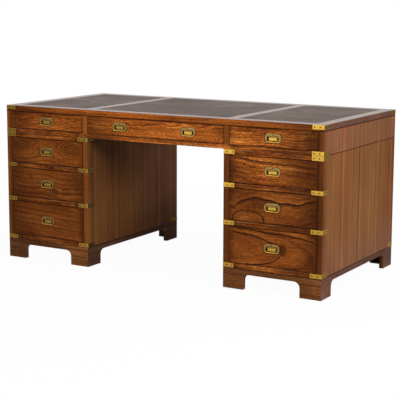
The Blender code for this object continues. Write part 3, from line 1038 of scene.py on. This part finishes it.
# Brass from bright to aged: metal, tarnish, the largest share of tarnish, and roughness
BRASSES = {
    "brass": ((0.82, 0.48, 0.07), (0.40, 0.23, 0.04), 0.40, 0.22),
    "dull_brass": ((0.43, 0.27, 0.080), (0.21, 0.13, 0.036), 0.55, 0.32),
    "aged_brass": ((0.10, 0.062, 0.018), (0.032, 0.019, 0.006), 0.8, 0.5),
}
BRIGHT, DULL, AGED = range(3)


def brass_finish(name, metal, brown, share, roughness):
    """Lacquered brass with patches of brown tarnish and fine scratches."""
    graph = Graph(name)
    place = graph.place()
    patch, speck, scratch = [noise(place, each) for each in (PATCH_NOISE, SPECK_NOISE, SCRATCH_NOISE)]
    patches = patch * PATCH_SHARE + speck * (1 - PATCH_SHARE)
    tarnish = patches.smooth(*TARNISH_RANGE, 0.0, share)
    polish = scratch.spread(*SCRATCH_RANGE, *[roughness + change for change in SCRATCH_ROUGH])
    rough = tarnish * TARNISH_ROUGH + polish
    graph.set(Base_Color=tarnish.blend(metal, brown), Metallic=1.0, Roughness=rough)
    graph.bump(scratch * SCRATCH_DEPTH + speck, *BRASS_RELIEF)
    return graph.owner


def leather_finish():
    """Dark hide with a fine pebbled grain, rubbed paler in broad patches."""
    graph = Graph("desk_leather")
    place = graph.place()
    warp = noise(place, WARP_NOISE)
    cells = stretched(place, PEBBLE_SCALES)
    shifted = graph.add("ShaderNodeVectorMath", cells, vector(warp, warp, 0.0), operation="ADD")
    pebbles = graph.node("ShaderNodeTexVoronoi", feature="DISTANCE_TO_EDGE")
    crease = graph.feed(pebbles, Vector=shifted, Scale=1.0).smooth(*CREASE_RANGE)
    cloud = noise(place, HIDE_NOISE)
    hide = cloud.spread(*HIDE_RANGE).ramp(HIDE_STOPS)
    colour = crease.spread(*CREASE_DARK).blend(hide, HIDE_CREASE)
    graph.set(Base_Color=colour, Roughness=cloud.spread(*HIDE_SHEEN), Specular_IOR_Level=HIDE_GLOSS)
    graph.bump(crease + cloud * HIDE_SWELL, *HIDE_RELIEF)
    return graph.owner


METALS = [brass_finish(name, *values) for name, values in BRASSES.items()]
BRASS = METALS[BRIGHT]
LEATHER = leather_finish()

# Woods of the case

STRAIGHT = {
    "band": 0.60,
    "mottle": 0.10,
    "cloud": 0.26,
    "vein": 0.06,
    "wave": 0.008,
    "length": 0.6,
    "rings": 45.0,
}
UPRIGHT_LOOK = figure(4.0, heart=(1.9, 0.9), contrast=0.22, **STRAIGHT)
# The kneehole panels are darker, as painted shade
KNEEHOLE_LOOK = {**UPRIGHT_LOOK, "lift": 0.90}
FRIEZE_LOOK = {**UPRIGHT_LOOK, "contrast": 0.28, "fibre": 0.3, "lift": 1.22, "dust": 0.40}
FRIEZE_SEAMS = (-0.255, 0.016)
RAIL_LOOK = figure(12.0, heart=(-0.6, 0.5), lean=(0.02, 0.0), rings=120.0, fibre=0.5, contrast=0.17)
RAIL_LIFTS = {
    "left": {"cap_board": 1.4, "upper_rail_board": 1.35, "lower_rail_board": 1.22, "bottom_board": 1.15},
    "right": {"cap_board": 2.0, "upper_rail_board": 1.05, "lower_rail_board": 1.1, "bottom_board": 1.3},
}
REAR_LIFT = 1.3
FRIEZE_LIFT = 2.3
FRIEZE_OUTER = lifted(FIGURED, 1.6)
LIPPINGS = {
    "upright": {"left": AMBER, "right": lifted(DEEP, 0.9)},
    "kneehole": {"left": lifted(AMBER, 1.25), "right": DEEP},
    "frieze_end": {"left": lifted(AMBER, 1.4), "right": lifted(AMBER, 0.57)},
    "divider": {"left": lifted(AMBER, 1.8), "right": lifted(AMBER, 0.8)},
}
TOP_LOOK = figure(17.0, heart=(-0.9, 0.4), lean=(0.01, 0.0), rings=110.0, contrast=0.22, lift=2.35)
TOP_ENDS = lifted(DUSTY, 0.92)
PLINTH_GRAIN = {"heart": (-0.5, 0.3), "lean": (0.03, 0.0), "vein": 0.5}

# Each plinth's seed, the palette of its outer faces, darker on the left plinth as painted shade, and the x
# from which it is paler
PLINTHS = {"left": (14.0, lifted(DUSTY, 0.52), -0.47), "right": (16.0, DUSTY, None)}


def upright_pair(kind, look, **options):
    """The left and right woods of one kind of upright panel."""
    rows = LIPPINGS[kind].items()
    return {side: upright_wood(f"{side}_{kind}_hardwood", look, palette, **options) for side, palette in rows}


def rail_set(side):
    """The wood of each rail of a pedestal."""
    lifts = RAIL_LIFTS[side].items()
    return {board: rail_wood(f"{side}_{board}_hardwood", lift, RAIL_SHADE) for board, lift in lifts}


UPRIGHT = upright_pair("upright", UPRIGHT_LOOK)
INNER = upright_pair("kneehole", KNEEHOLE_LOOK, shaded=True)
FRIEZE_END = upright_pair("frieze_end", FRIEZE_LOOK, seams=FRIEZE_SEAMS)
DIVIDER = upright_pair("divider", UPRIGHT_LOOK)
LENGTHWISE = rail_wood("lengthwise_hardwood", REAR_LIFT, RAIL_SHADE)
FRIEZE_RAIL = rail_wood("frieze_rail_hardwood", FRIEZE_LIFT, FRIEZE_SHADE, FRIEZE_OUTER)
PALE_FIGURE = {"heart": (0.8, 0.8), **STRAIGHT}
PALE_WOOD_X = board_wood("pale_timber_crosswise", (X, Y, Z), figure(21.0, **PALE_FIGURE), PALE)
PALE_WOOD_Y = board_wood("pale_timber_lengthwise", (Y, Z, X), figure(25.0, **PALE_FIGURE), PALE)

# Figure of each drawer front: where the heart of the log lies across and behind the face, and how it leans
FRONT_FIGURES = {
    "centre_frieze": figure(
        1.0, heart=(-0.12, 0.04), lean=(0.06, 0.01), sway=(0.004, 0.20, 0.0), length=0.10, wave=0.026,
        rings=90.0, band=0.30, contrast=0.175, fine=2.2, lift=2.15, edge=0.70,
        fades=((0.30, 0.62), (0.08, 0.40)),
    ),
    "left_frieze": figure(
        2.0, heart=(0.06, 0.02), lean=(0.08, 0.05), sway=(0.004, 0.20, 1.0), length=0.14, rings=90.0,
        contrast=0.20, lift=1.84, edge=0.75, fades=((0.45, 0.56), (0.05, 0.40)),
        drawn=[
            vein_line((0.42, 0.05), (0.56, 0.16), (0.70, 0.24), (0.86, 0.20), (0.98, 0.24), strength=0.5),
            vein_line((0.56, 0.62), (0.66, 0.44), (0.76, 0.46), (0.86, 0.66), (0.94, 0.92), strength=0.45),
            vein_line((0.58, 0.86), (0.67, 0.66), (0.76, 0.70), (0.84, 0.94), strength=0.4),
            vein_line((0.03, 0.50), (0.14, 0.62), (0.28, 0.66), (0.40, 0.80), strength=0.4),
        ],
    ),
    "left_upper": figure(
        3.0, heart=(0.022, 0.0), lean=(-0.02, 0.0), dive=(0.055, 0.62, 0.0), length=0.24, wave=0.006,
        rings=110.0, contrast=0.30, lift=1.22, fades=((0.45, 0.60), (0.10, 0.45)),
        drawn=[
            *vein_knot((0.83, 0.34), 0.5, 0.42, (0.09, 0.17, 0.26, 0.36)),
            *vein_knot((0.15, 0.52), 0.8, 0.36, (0.10, 0.20, 0.31)),
        ],
    ),
    "left_middle": figure(
        4.0, heart=(0.12, 0.020), lean=(-0.06, 0.06), sway=(0.006, 0.25, 0.5), length=0.16, rings=70.0,
        contrast=0.28, fades=((0.40, 0.58), (0.30, 0.42)),
        drawn=[
            vein_ring((0.61, 0.73), (0.034, 0.105), 0.55, soft=0.006),
            vein_ring((0.61, 0.73), (0.014, 0.045), 0.5, soft=0.004),
            vein_ring((0.76, 0.70), (0.044, 0.105), 0.6, soft=0.006),
            vein_ring((0.77, 0.70), (0.020, 0.050), 0.5, soft=0.004),
            vein_ring((0.26, 0.30), (0.040, 0.11), 0.45, soft=0.012, filled=True),
        ],
    ),
    "left_lower": figure(
        5.0, heart=(0.40, 0.05), lean=(-0.06, 0.05), length=0.40, wave=0.008, rings=80.0, contrast=0.32,
        fades=((0.45, 0.46), (0.10, 0.62)),
    ),
    "right_frieze": figure(
        6.0, heart=(-0.16, 0.06), lean=(0.02, 0.02), sway=(0.004, 0.30, 0.4), length=0.20, rings=80.0,
        contrast=0.15, lift=1.80, edge=0.72, fades=((0.10, 0.40), (0.62, 0.85)),
    ),
    "right_upper": figure(
        7.0, length=0.30, rings=45.0, contrast=0.15, lift=1.5, follow=True,
        fades=((0.14, 0.80), (0.70, 0.78)),
        drawn=[vein_line((0.0, 0.03), (0.10, 0.06), (0.32, 0.17), (0.60, 0.19), (0.90, 0.24), (1.0, 0.30))],
    ),
    "right_middle": figure(
        8.0, length=0.22, wave=0.008, rings=34.0, lift=0.84, contrast=0.22, follow=True,
        fades=((0.10, 0.55), (0.26, 0.62)),
        drawn=[
            vein_line(
                (0.07, 0.55), (0.15, 0.365), (0.23, 0.30), (0.30, 0.23), (0.36, 0.235), (0.42, 0.28),
                (0.49, 0.29), (0.60, 0.36), (0.67, 0.325), (0.74, 0.356), (0.81, 0.33), (0.89, 0.25),
                (1.0, 0.18), strength=1.0, width=0.0054, soft=0.008,
            ),
            vein_ring((0.225, 0.91), (0.180, 0.265), 0.75, width=0.0046, soft=0.005),
            vein_line((0.06, 0.94), (0.16, 0.965), (0.30, 0.985), strength=0.5),
        ],
    ),
    "right_lower": figure(
        9.0, heart=(-0.015, 0.0565), lean=(-0.05, 0.226), length=0.34, rings=36.0, contrast=0.27, lift=1.12,
        edge=0.72, fades=((0.10, 0.55), (0.22, 0.70)),
        drawn=[
            vein_ring((0.622, 0.505), (0.048, 0.16), 0.72, soft=0.010, filled=True),
            vein_line(
                (0.0, 0.03), (0.21, 0.045), (0.44, 0.09), (0.60, 0.096), (0.83, 0.153), (1.0, 0.24),
                strength=1.0, width=0.0054, soft=0.010,
            ),
            vein_line(
                (0.02, 0.13), (0.10, 0.167), (0.265, 0.20), (0.435, 0.297), (0.57, 0.376), (0.62, 0.42),
                (0.66, 0.50), strength=1.0, width=0.0044, soft=0.010,
            ),
            vein_line(
                (0.17, 0.99), (0.38, 0.94), (0.49, 0.876), (0.54, 0.81), (0.605, 0.66), (0.66, 0.50),
                strength=1.0, width=0.0044, soft=0.004,
            ),
            vein_line(
                (0.55, 0.94), (0.74, 0.96), (0.87, 0.92), (0.99, 0.84),
                strength=0.75, width=0.0040, soft=0.006,
            ),
        ],
    ),
}


# Packed boards that stay in view


def top_wood():
    left_low, left_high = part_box("left_leather")
    centre_low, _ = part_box("centre_leather")
    bands = (-(left_high.x + centre_low.x) / 2, (centre_low.x - left_high.x) / 2, -left_low.y)
    half = (HALF_WIDTH, HALF_DEPTH)
    return mitred_wood("top_hardwood", TOP_LOOK, FIGURED, TOP_ENDS, half, TOP_LOW.z, bands=bands)


def plinth_wood(side):
    seed, ends, paler = PLINTHS[side]
    low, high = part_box(f"{side}_plinth")
    look = figure(seed, **PLINTH_GRAIN)
    half, middle_x = ((high.x - low.x) / 2, high.y), (low.x + high.x) / 2
    return mitred_wood(f"{side}_plinth_hardwood", look, BROWN, ends, half, high.z, middle_x, paler=paler)


def side_woods(side):
    """The wood of each packed board on one side of the desk."""
    return {
        "outer_side": UPRIGHT[side],
        "cupboard_door": UPRIGHT[side],
        "frieze_end": FRIEZE_END[side],
        "frieze_divider": DIVIDER[side],
        "inner_side": INNER[side],
        "partition": PALE_WOOD_X,
        "plinth": plinth_wood(side),
        **rail_set(side),
    }


def dress_case():
    dressed = {"frieze_base": FRIEZE_RAIL, "rear_frieze_panel": LENGTHWISE, "frieze_spine": PALE_WOOD_X}
    dressed["top_board"] = top_wood()
    for side in SIDES:
        dressed.update({f"{side}_{part}": material for part, material in side_woods(side).items()})
    for name, material in dressed.items():
        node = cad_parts[name]
        node.data.materials.clear()
        node.data.materials.append(material)
        soften_case(node)


# Leather inlays


def rectangle(low, high, inset, z):
    x_low, x_high = low.x + inset, high.x - inset
    y_low, y_high = low.y + inset, high.y - inset
    corners = ((x_low, y_low), (x_high, y_low), (x_high, y_high), (x_low, y_high))
    return [Vector((x, y, z)) for x, y in corners]


def build_leather():
    for side in ("left", "centre", "right"):
        node = f"{side}_leather"
        low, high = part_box(node)
        loops = [rectangle(low, high, inset, high.z - drop) for inset, drop in HIDE_SECTION]
        form = lofted([rectangle(low, high, 0.0, low.z), *loops])
        hide = new_piece(f"{side}_desk_leather", form, [LEATHER], "case", [node])


# Handles


def paint_plate(faces):
    """Painted highlight on the foot of the rim, and aged metal in the grooves as patina and painted shade."""
    for i, face in enumerate(faces):
        row, spot = divmod(i, OUTLINE_POINTS)
        if row in GROOVE_ROWS:
            face.material_index = AGED
        elif row in RIM_ROWS and math.sin(2 * math.pi * spot / OUTLINE_POINTS) < RIM_HIGHLIGHT_SINE:
            face.material_index = BRIGHT


def plate_form():
    """A plate with a beaded rim and a sunk pan, as one closed shell. y is 0 at its face."""
    back = PAN_DEPTH + PAN_WALL
    loops = [pan_loop(PAN_WALL - PAN_BACK_EDGE, back), pan_loop(PAN_WALL, back - PAN_BACK_EDGE)]
    loops += [pan_loop(PAN_WALL, PLATE_THICK), plate_loop(0.0, PLATE_THICK)]
    loops += [plate_loop(grow, depth) for grow, depth in PLATE_BEAD]
    loops += [pan_loop(grow, depth) for grow, depth in PAN_SECTION]
    form = lofted(loops, DULL)
    paint_plate(form.faces)
    screw = Vector((0, 0, (PAN_HEAD + PLATE_HEIGHT / 2) / 2))
    add_screw(form, screw, Vector((0, -1, 0)), PLATE_SCREW_SLOT, PLATE_SCREW_RADIUS)
    return form


def pull_form():
    """A barrel on pins with a thin neck and a thick rounded grip."""
    half = PAN_HALF - POCKET_CLEAR
    pin = PAN_HALF + PAN_WALL - POCKET_CLEAR
    barrel = [
        (0.0, PIN_RADIUS),
        (pin - half, PIN_RADIUS),
        (pin - half, BARREL_RADIUS - BARREL_SOFT),
        (pin - half + BARREL_SOFT, BARREL_RADIUS),
        (pin + half - BARREL_SOFT, BARREL_RADIUS),
        (pin + half, BARREL_RADIUS - BARREL_SOFT),
        (pin + half, PIN_RADIUS),
        (2 * pin, PIN_RADIUS),
    ]
    form = bmesh.new()
    add_loft(form, turned(PIVOT - Vector((pin, 0, 0)), (1, 0, 0), barrel, BARREL_SIDES), DULL)
    neck_low = (-GRIP_HALF + NECK_INSET, PIVOT.y - NECK_THICK / 2, GRIP_FOOT + NECK_RISE)
    neck_high = (GRIP_HALF - NECK_INSET, PIVOT.y + NECK_THICK / 2, PIVOT.z)
    add_box(form, neck_low, neck_high, NECK_EDGE, material=DULL)
    grip_low = (-GRIP_HALF, GRIP_FACE, GRIP_FOOT)
    grip_high = (GRIP_HALF, GRIP_FACE + GRIP_THICK, GRIP_HEAD)
    add_box(form, grip_low, grip_high, GRIP_EDGE, ROUND_STEPS)
    tidy_form(form)
    return form


def half_disc(radius, inset):
    """A half disc cut off at a distance from its middle, as (along the cut, away from it) pairs."""
    start = math.asin(inset / radius)
    steps = SCREW_SIDES // 2
    turns = [start + (math.pi - 2 * start) * i / steps for i in range(steps + 1)]
    return [(radius * math.cos(turn), radius * math.sin(turn)) for turn in turns]


def add_screw(form, centre, outward, slot_along, radius):
    """A slotted screw head: two half discs on a sunk base."""
    slot = slot_along.normalized()
    side = outward.cross(slot)
    part = bmesh.new()
    seats = [centre + outward * level for level in SCREW_SEAT_LEVELS]
    add_loft(part, [circle(seat, radius * SCREW_SEAT, SCREW_SIDES, slot, side) for seat in seats])
    half, crown = (half_disc(size, SCREW_SLOT / 2) for size in (radius, radius * SCREW_CROWN))
    for sign in (1, -1):
        loops = []
        for level, shape in ((0.0, half), (SCREW_RISE * SCREW_SHOULDER, half), (SCREW_RISE, crown)):
            seat = centre + outward * level
            loops.append([seat + slot * along + side * (sign * away) for along, away in shape])
        add_loft(part, loops)
    tidy_form(part)
    join_part(form, part, AGED)


def moved(form, place):
    copy = form.copy()
    bmesh.ops.translate(copy, verts=copy.verts, vec=place)
    return copy


# Drawers


def pocket_cutters(place):
    """Temporary solids that cut the pocket of one handle."""
    pan_back = PAN_DEPTH + PAN_WALL + POCKET_CLEAR
    shapes = (
        [plate_loop(POCKET_CLEAR, depth) for depth in (-POCKET_OPEN, PLATE_THICK + POCKET_CLEAR)],
        [pan_loop(PAN_WALL + POCKET_CLEAR, depth) for depth in (0.0, pan_back)],
    )
    return [assign(link("cutter", mesh_of("cutter", lofted(loops))), location=place) for loops in shapes]


def pocketed_front(low, high, places):
    """The mesh of a drawer front with a pocket for each handle."""
    form = bmesh.new()
    add_box(form, low, high, FRONT_EDGE, ROUND_STEPS)
    tidy_form(form)
    board = link("front", mesh_of("front", form))
    cutters = [cutter for place in places for cutter in pocket_cutters(place)]
    for cutter in cutters:
        modify(board, "pocket", "BOOLEAN", operation="DIFFERENCE", object=cutter)
    bpy.context.view_layer.update()
    graph = bpy.context.evaluated_depsgraph_get()
    made = bpy.data.meshes.new_from_object(board.evaluated_get(graph))
    for used in (board, *cutters):
        bpy.data.objects.remove(used)
    return made


def dovetails(foot, head):
    """The z ranges of the tails on a drawer side at the front, as (foot, head) pairs."""
    count = max(2, round((head - foot) / TAIL_PITCH))
    pitch = (head - foot) / count
    return [(foot + pitch * i + TAIL_GAP, foot + pitch * (i + 1) - TAIL_GAP) for i in range(count)]


def add_tail(form, x_low, x_high, y_front, y_back, foot, head):
    """One tail, which widens towards the front."""
    flare = (y_back - y_front) * TAIL_FLARE
    plan = [(foot - flare, y_front), (head + flare, y_front), (head, y_back), (foot, y_back)]
    add_loft(form, [[Vector((x, y, z)) for z, y in plan] for x in (x_low, x_high)])


def box_forms(low, high, front_back):
    """The sides of a drawer box between two corners, and its back and bottom, as two bmeshes."""
    sides, rest = bmesh.new(), bmesh.new()
    inner_low, inner_high = low.x + BOX_WALL, high.x - BOX_WALL
    for x_low, x_high in ((low.x, inner_low), (inner_high, high.x)):
        add_box(sides, (x_low, front_back, low.z), (x_high, high.y, high.z), BOX_EDGE)
        for foot, head in dovetails(low.z + TAIL_MARGIN, high.z - TAIL_MARGIN):
            add_tail(sides, x_low, x_high, front_back - TAIL_LENGTH, front_back + TAIL_ROOT, foot, head)
    back_low = (inner_low, high.y - BOX_WALL, low.z + BOTTOM_HEAD)
    back_high = (inner_high, high.y - BACK_INSET, high.z - BACK_DROP)
    add_box(rest, back_low, back_high, BOX_EDGE)
    bottom_low = (inner_low - BOTTOM_TONGUE, front_back - BOTTOM_LAP, low.z + BOTTOM_FOOT)
    bottom_high = (inner_high + BOTTOM_TONGUE, high.y - BOTTOM_INSET, low.z + BOTTOM_HEAD)
    add_box(rest, bottom_low, bottom_high, BOTTOM_EDGE)
    for form in (sides, rest):
        tidy_form(form)
    return sides, rest


def drawer_bays():
    """Each drawer's name with the names of its handles."""
    bays = {"centre_frieze": ["centre_frieze_left", "centre_frieze_right"]}
    for side in SIDES:
        for level in ("frieze", "upper", "middle", "lower"):
            bays[f"{side}_{level}"] = [f"{side}_{level}"]
    return bays


def handle_place(name):
    low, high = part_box(f"{name}_handle_plate")
    return Vector(((low.x + high.x) / 2, low.y, (low.z + high.z) / 2))


def build_drawer(name, handles, plate, pull):
    body = f"{name}_drawer"
    low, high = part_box(body)
    bay_low = Vector((low.x - SIDE_CLEAR, low.y, low.z - FOOT_CLEAR))
    bay_high = Vector((high.x + SIDE_CLEAR, high.y, high.z + FRONT_GAP))
    front_low = Vector((bay_low.x + FRONT_GAP, low.y, bay_low.z + FRONT_GAP))
    front_high = Vector((bay_high.x - FRONT_GAP, low.y + FRONT_THICK, bay_high.z - FRONT_GAP))
    places = [handle_place(handle) for handle in handles]
    wood = front_wood(f"{name}_front_hardwood", front_low, front_high, FRONT_FIGURES[name], places)
    mesh = pocketed_front(front_low, front_high, places)
    new_piece(f"{name}_front", mesh, [wood], body, [body])
    box_high = Vector((high.x, high.y, bay_high.z - TOP_CLEAR))
    sides, rest = box_forms(low, box_high, front_high.y)
    new_piece(f"{name}_box_sides", sides, [PALE_WOOD_Y], body)
    new_piece(f"{name}_box_back_and_bottom", rest, [PALE_WOOD_X], body)
    for handle, place in zip(handles, places):
        plate_node, pull_node = f"{handle}_handle_plate", f"{handle}_pull"
        new_piece(f"{handle}_flush_plate", moved(plate, place), METALS, body, [plate_node])
        new_piece(f"{handle}_flush_pull", moved(pull, place), METALS, pull_node, [pull_node])


def build_drawers():
    plate, pull = plate_form(), pull_form()
    for name, handles in drawer_bays().items():
        build_drawer(name, handles, plate, pull)
    plate.free()
    pull.free()


# Corner straps


def strap_path(offset):
    """Plan of a strap's face about a corner at the origin, legs along +x and +y, moved outward."""
    radius = STRAP_CORNER + offset
    points = [(STRAP_LEG, -offset)]
    for i in range(STRAP_CORNER_STEPS + 1):
        turn = math.radians(270 - 90 * i / STRAP_CORNER_STEPS)
        points.append((STRAP_CORNER + radius * math.cos(turn), STRAP_CORNER + radius * math.sin(turn)))
    points.append((-offset, STRAP_LEG))
    return points


def strap_form(foot, head):
    """A bent strap with four screws, about a corner at the origin with legs along +x and +y."""
    plan = strap_path(STRAP_PROUD) + strap_path(-STRAP_SUNK)[::-1]
    form = lofted([[Vector((x, y, z)) for x, y in plan] for z in (foot, head)])
    sharp = [edge for edge in form.edges if edge.calc_face_angle(0.0) > EDGE_ANGLE]
    round_edges(form, sharp, STRAP_EDGE, 1)
    middle = (foot + head) / 2
    for far, x_turn, y_turn in STRAP_SCREWS:
        x_slot = Vector((math.cos(x_turn), 0, math.sin(x_turn)))
        y_slot = Vector((0, math.cos(y_turn), math.sin(y_turn)))
        x_leg, y_leg = Vector((far, -STRAP_PROUD, middle)), Vector((-STRAP_PROUD, far, middle))
        add_screw(form, x_leg, Vector((0, -1, 0)), x_slot, STRAP_SCREW_RADIUS)
        add_screw(form, y_leg, Vector((-1, 0, 0)), y_slot, STRAP_SCREW_RADIUS)
    return form


def add_strap(name, corner, inward, levels, shaded_leg=False):
    """A strap on a corner of the case. A shaded leg, along y, has duller metal as painted shade."""
    form = strap_form(*levels)
    # Duller metal on the leg along y, as painted shade
    if shaded_leg:
        for face in form.faces:
            if face.calc_center_median().y > STRAP_CORNER:
                face.material_index = max(face.material_index, DULL)
    for vert in form.verts:
        vert.co.x = corner[0] + inward[0] * vert.co.x
        vert.co.y = corner[1] + inward[1] * vert.co.y
    if inward[0] * inward[1] < 0:
        bmesh.ops.reverse_faces(form, faces=form.faces[:])
    new_piece(name, form, METALS, "case")


def strap_levels():
    """The z range of each strap on a front corner, by letter from the top down."""
    base_low, base_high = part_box("frieze_base")
    levels = {
        "a": (HEIGHT - STRAP_HEIGHT, HEIGHT - STRAP_TOP_GAP),
        "b": (base_low.z + STRAP_GAP, base_high.z),
    }
    for letter, board in zip("cdef", RAIL_BOARDS):
        low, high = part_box(f"left_{board}")
        levels[letter] = (low.z, high.z - STRAP_GAP)
    return levels


def build_straps():
    levels = strap_levels()
    for side, sign in SIDES.items():
        outer_x, inner_x = sign * HALF_WIDTH, sign * HALF_KNEEHOLE
        for letter, level in levels.items():
            add_strap(f"{side}_front_strap_{letter}", (outer_x, -HALF_DEPTH), (-sign, 1), level)
        for letter in "cdef":
            name = f"{side}_inner_strap_{letter}"
            add_strap(name, (inner_x, -HALF_DEPTH), (sign, 1), levels[letter], shaded_leg=True)
        for letter in "af":
            add_strap(f"{side}_rear_strap_{letter}", (outer_x, HALF_DEPTH), (-sign, -1), levels[letter])
        add_strap(f"{side}_rear_inner_strap_f", (inner_x, HALF_DEPTH), (sign, -1), levels["f"])


# Cupboard doors


def knuckle_profile(length):
    soft = HINGE_RADIUS - HINGE_SOFT
    return [(0.0, soft), (HINGE_SOFT, HINGE_RADIUS), (length - HINGE_SOFT, HINGE_RADIUS), (length, soft)]


def build_hinge(side, sign):
    """A long hinge: knuckles that belong in turn to the case and the door, on one pin."""
    node = f"{side}_cupboard_hinge"
    low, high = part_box(node)
    axis_y = high.y - HINGE_RADIUS
    axis_x = (low.x if sign < 0 else high.x) - sign * HINGE_RADIUS
    height, upward = high.z - low.z, (0, 0, 1)
    count = 2 * int(height / HINGE_PITCH / 2) + 1
    pitch = height / count
    case, door = bmesh.new(), bmesh.new()
    knuckle = knuckle_profile(pitch - HINGE_GAP)
    for i in range(count):
        start = Vector((axis_x, axis_y, low.z + i * pitch + HINGE_GAP / 2))
        add_loft(door if i % 2 else case, turned(start, upward, knuckle, HINGE_SIDES))
    pin = [(0.0, HINGE_PIN_RADIUS), (height - 2 * HINGE_PIN_INSET, HINGE_PIN_RADIUS)]
    pin_foot = Vector((axis_x, axis_y, low.z + HINGE_PIN_INSET))
    add_loft(case, turned(pin_foot, upward, pin, HINGE_PIN_SIDES))
    leaf_x = sorted((axis_x + sign * LEAF_OUTWARD, axis_x - sign * LEAF_INWARD))
    add_box(case, (leaf_x[0], axis_y - LEAF_WIDTH, low.z), (leaf_x[1], axis_y, high.z), LEAF_EDGE, 1)
    for form in (case, door):
        tidy_form(form)
    new_piece(f"{side}_hinge_case_knuckles", case, [BRASS], "case", [node])
    new_piece(f"{side}_hinge_door_knuckles", door, [BRASS], f"{side}_cupboard_door")


def build_knob(side, sign):
    """A turned knob on a round rose."""
    low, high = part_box(f"{side}_cupboard_door")
    inner_x = high.x if sign < 0 else low.x
    place = Vector((inner_x + sign * KNOB_INSET, high.y, (low.z + high.z) / 2 + KNOB_HEIGHT))
    form = lofted(turned(place, (0, 1, 0), KNOB_PROFILE, KNOB_SIDES))
    new_piece(f"{side}_door_knob", form, [BRASS], f"{side}_cupboard_door")


def build_doors():
    for side, sign in SIDES.items():
        build_hinge(side, sign)
        build_knob(side, sign)


# Studio


def build_lights():
    for name, (place, target, size, power, colour, mirrored) in LAMPS.items():
        light = assign(bpy.data.lights.new(name, "AREA"), shape="RECTANGLE", energy=power, color=colour)
        light.size, light.size_y = size
        aim = (Vector(target) - Vector(place)).to_track_quat("-Z", "Y").to_euler()
        assign(link(name, light), location=place, visible_glossy=mirrored, rotation_euler=aim)


def build_world():
    """Soft light all round, in front of a white background."""
    graph = Graph("studio", "worlds")
    bpy.context.scene.world = graph.owner
    graph.tree.nodes.clear()
    soft = graph.add("ShaderNodeBackground", AMBIENT_COLOUR, AMBIENT)
    white = graph.add("ShaderNodeBackground", WHITE, 1.0)
    graph.end("ShaderNodeOutputWorld", graph.seen(), soft, white)


def flat_faces(name, faces):
    """A stage object of separate four-sided faces, each given by its corners."""
    mesh = bpy.data.meshes.new(name)
    corners = [corner for face in faces for corner in face]
    mesh.from_pydata(corners, [], [range(i, i + 4) for i in range(0, len(corners), 4)])
    return link(name, mesh)


def floor_material():
    """Pale, and close to white for the camera: it keeps shade near the desk and none far off."""
    graph = Graph("pale_floor")
    graph.tree.nodes.clear()
    length = graph.node("ShaderNodeVectorMath", graph.point(), operation="LENGTH").outputs["Value"]
    white = Value(graph, length).spread(*FLOOR_WHITE)
    matt = graph.add("ShaderNodeBsdfDiffuse", FLOOR_COLOUR)
    glow = graph.add("ShaderNodeEmission", WHITE, 1.0)
    graph.end("ShaderNodeOutputMaterial", graph.seen() * white, matt, glow)
    return graph.owner


def build_floor():
    low, high = -FLOOR_HALF, FLOOR_HALF
    floor = flat_faces("floor", [((low, low, 0), (high, low, 0), (high, high, 0), (low, high, 0))])
    floor.data.materials.append(floor_material())


def build_flag():
    """Cards, seen only in reflections, that shade the metal of the left pedestal and of the sides."""
    flag = flat_faces("flag", [corners for _, corners in CARDS])
    for name, (colour, gloss) in CARD_KINDS.items():
        graph = Graph(name)
        graph.set(Base_Color=colour, Specular_IOR_Level=gloss)
        flag.data.materials.append(graph.owner)
    for polygon, (kind, _) in zip(flag.data.polygons, CARDS):
        polygon.material_index = list(CARD_KINDS).index(kind)
    for ray in ("camera", "diffuse", "transmission", "shadow"):
        setattr(flag, f"visible_{ray}", False)


def build_camera():
    data = bpy.data.cameras.new("camera")
    assign(data, sensor_width=SENSOR_WIDTH, lens=CAMERA_LENS, shift_y=CAMERA_SHIFT_Y)
    stand = Matrix.Translation(CAMERA_PLACE)
    for turn, axis in ((CAMERA_TURN, "Z"), (math.pi / 2 - CAMERA_TILT, "X"), (CAMERA_ROLL, "Z")):
        stand = stand @ Matrix.Rotation(turn, 4, axis)
    bpy.context.scene.camera = assign(link("camera", data), matrix_world=stand)


dress_case()
build_leather()
build_drawers()
build_straps()
build_doors()
build_floor()
build_lights()
build_world()
build_flag()
build_camera()
bpy.context.scene.view_settings.view_transform = "Standard"
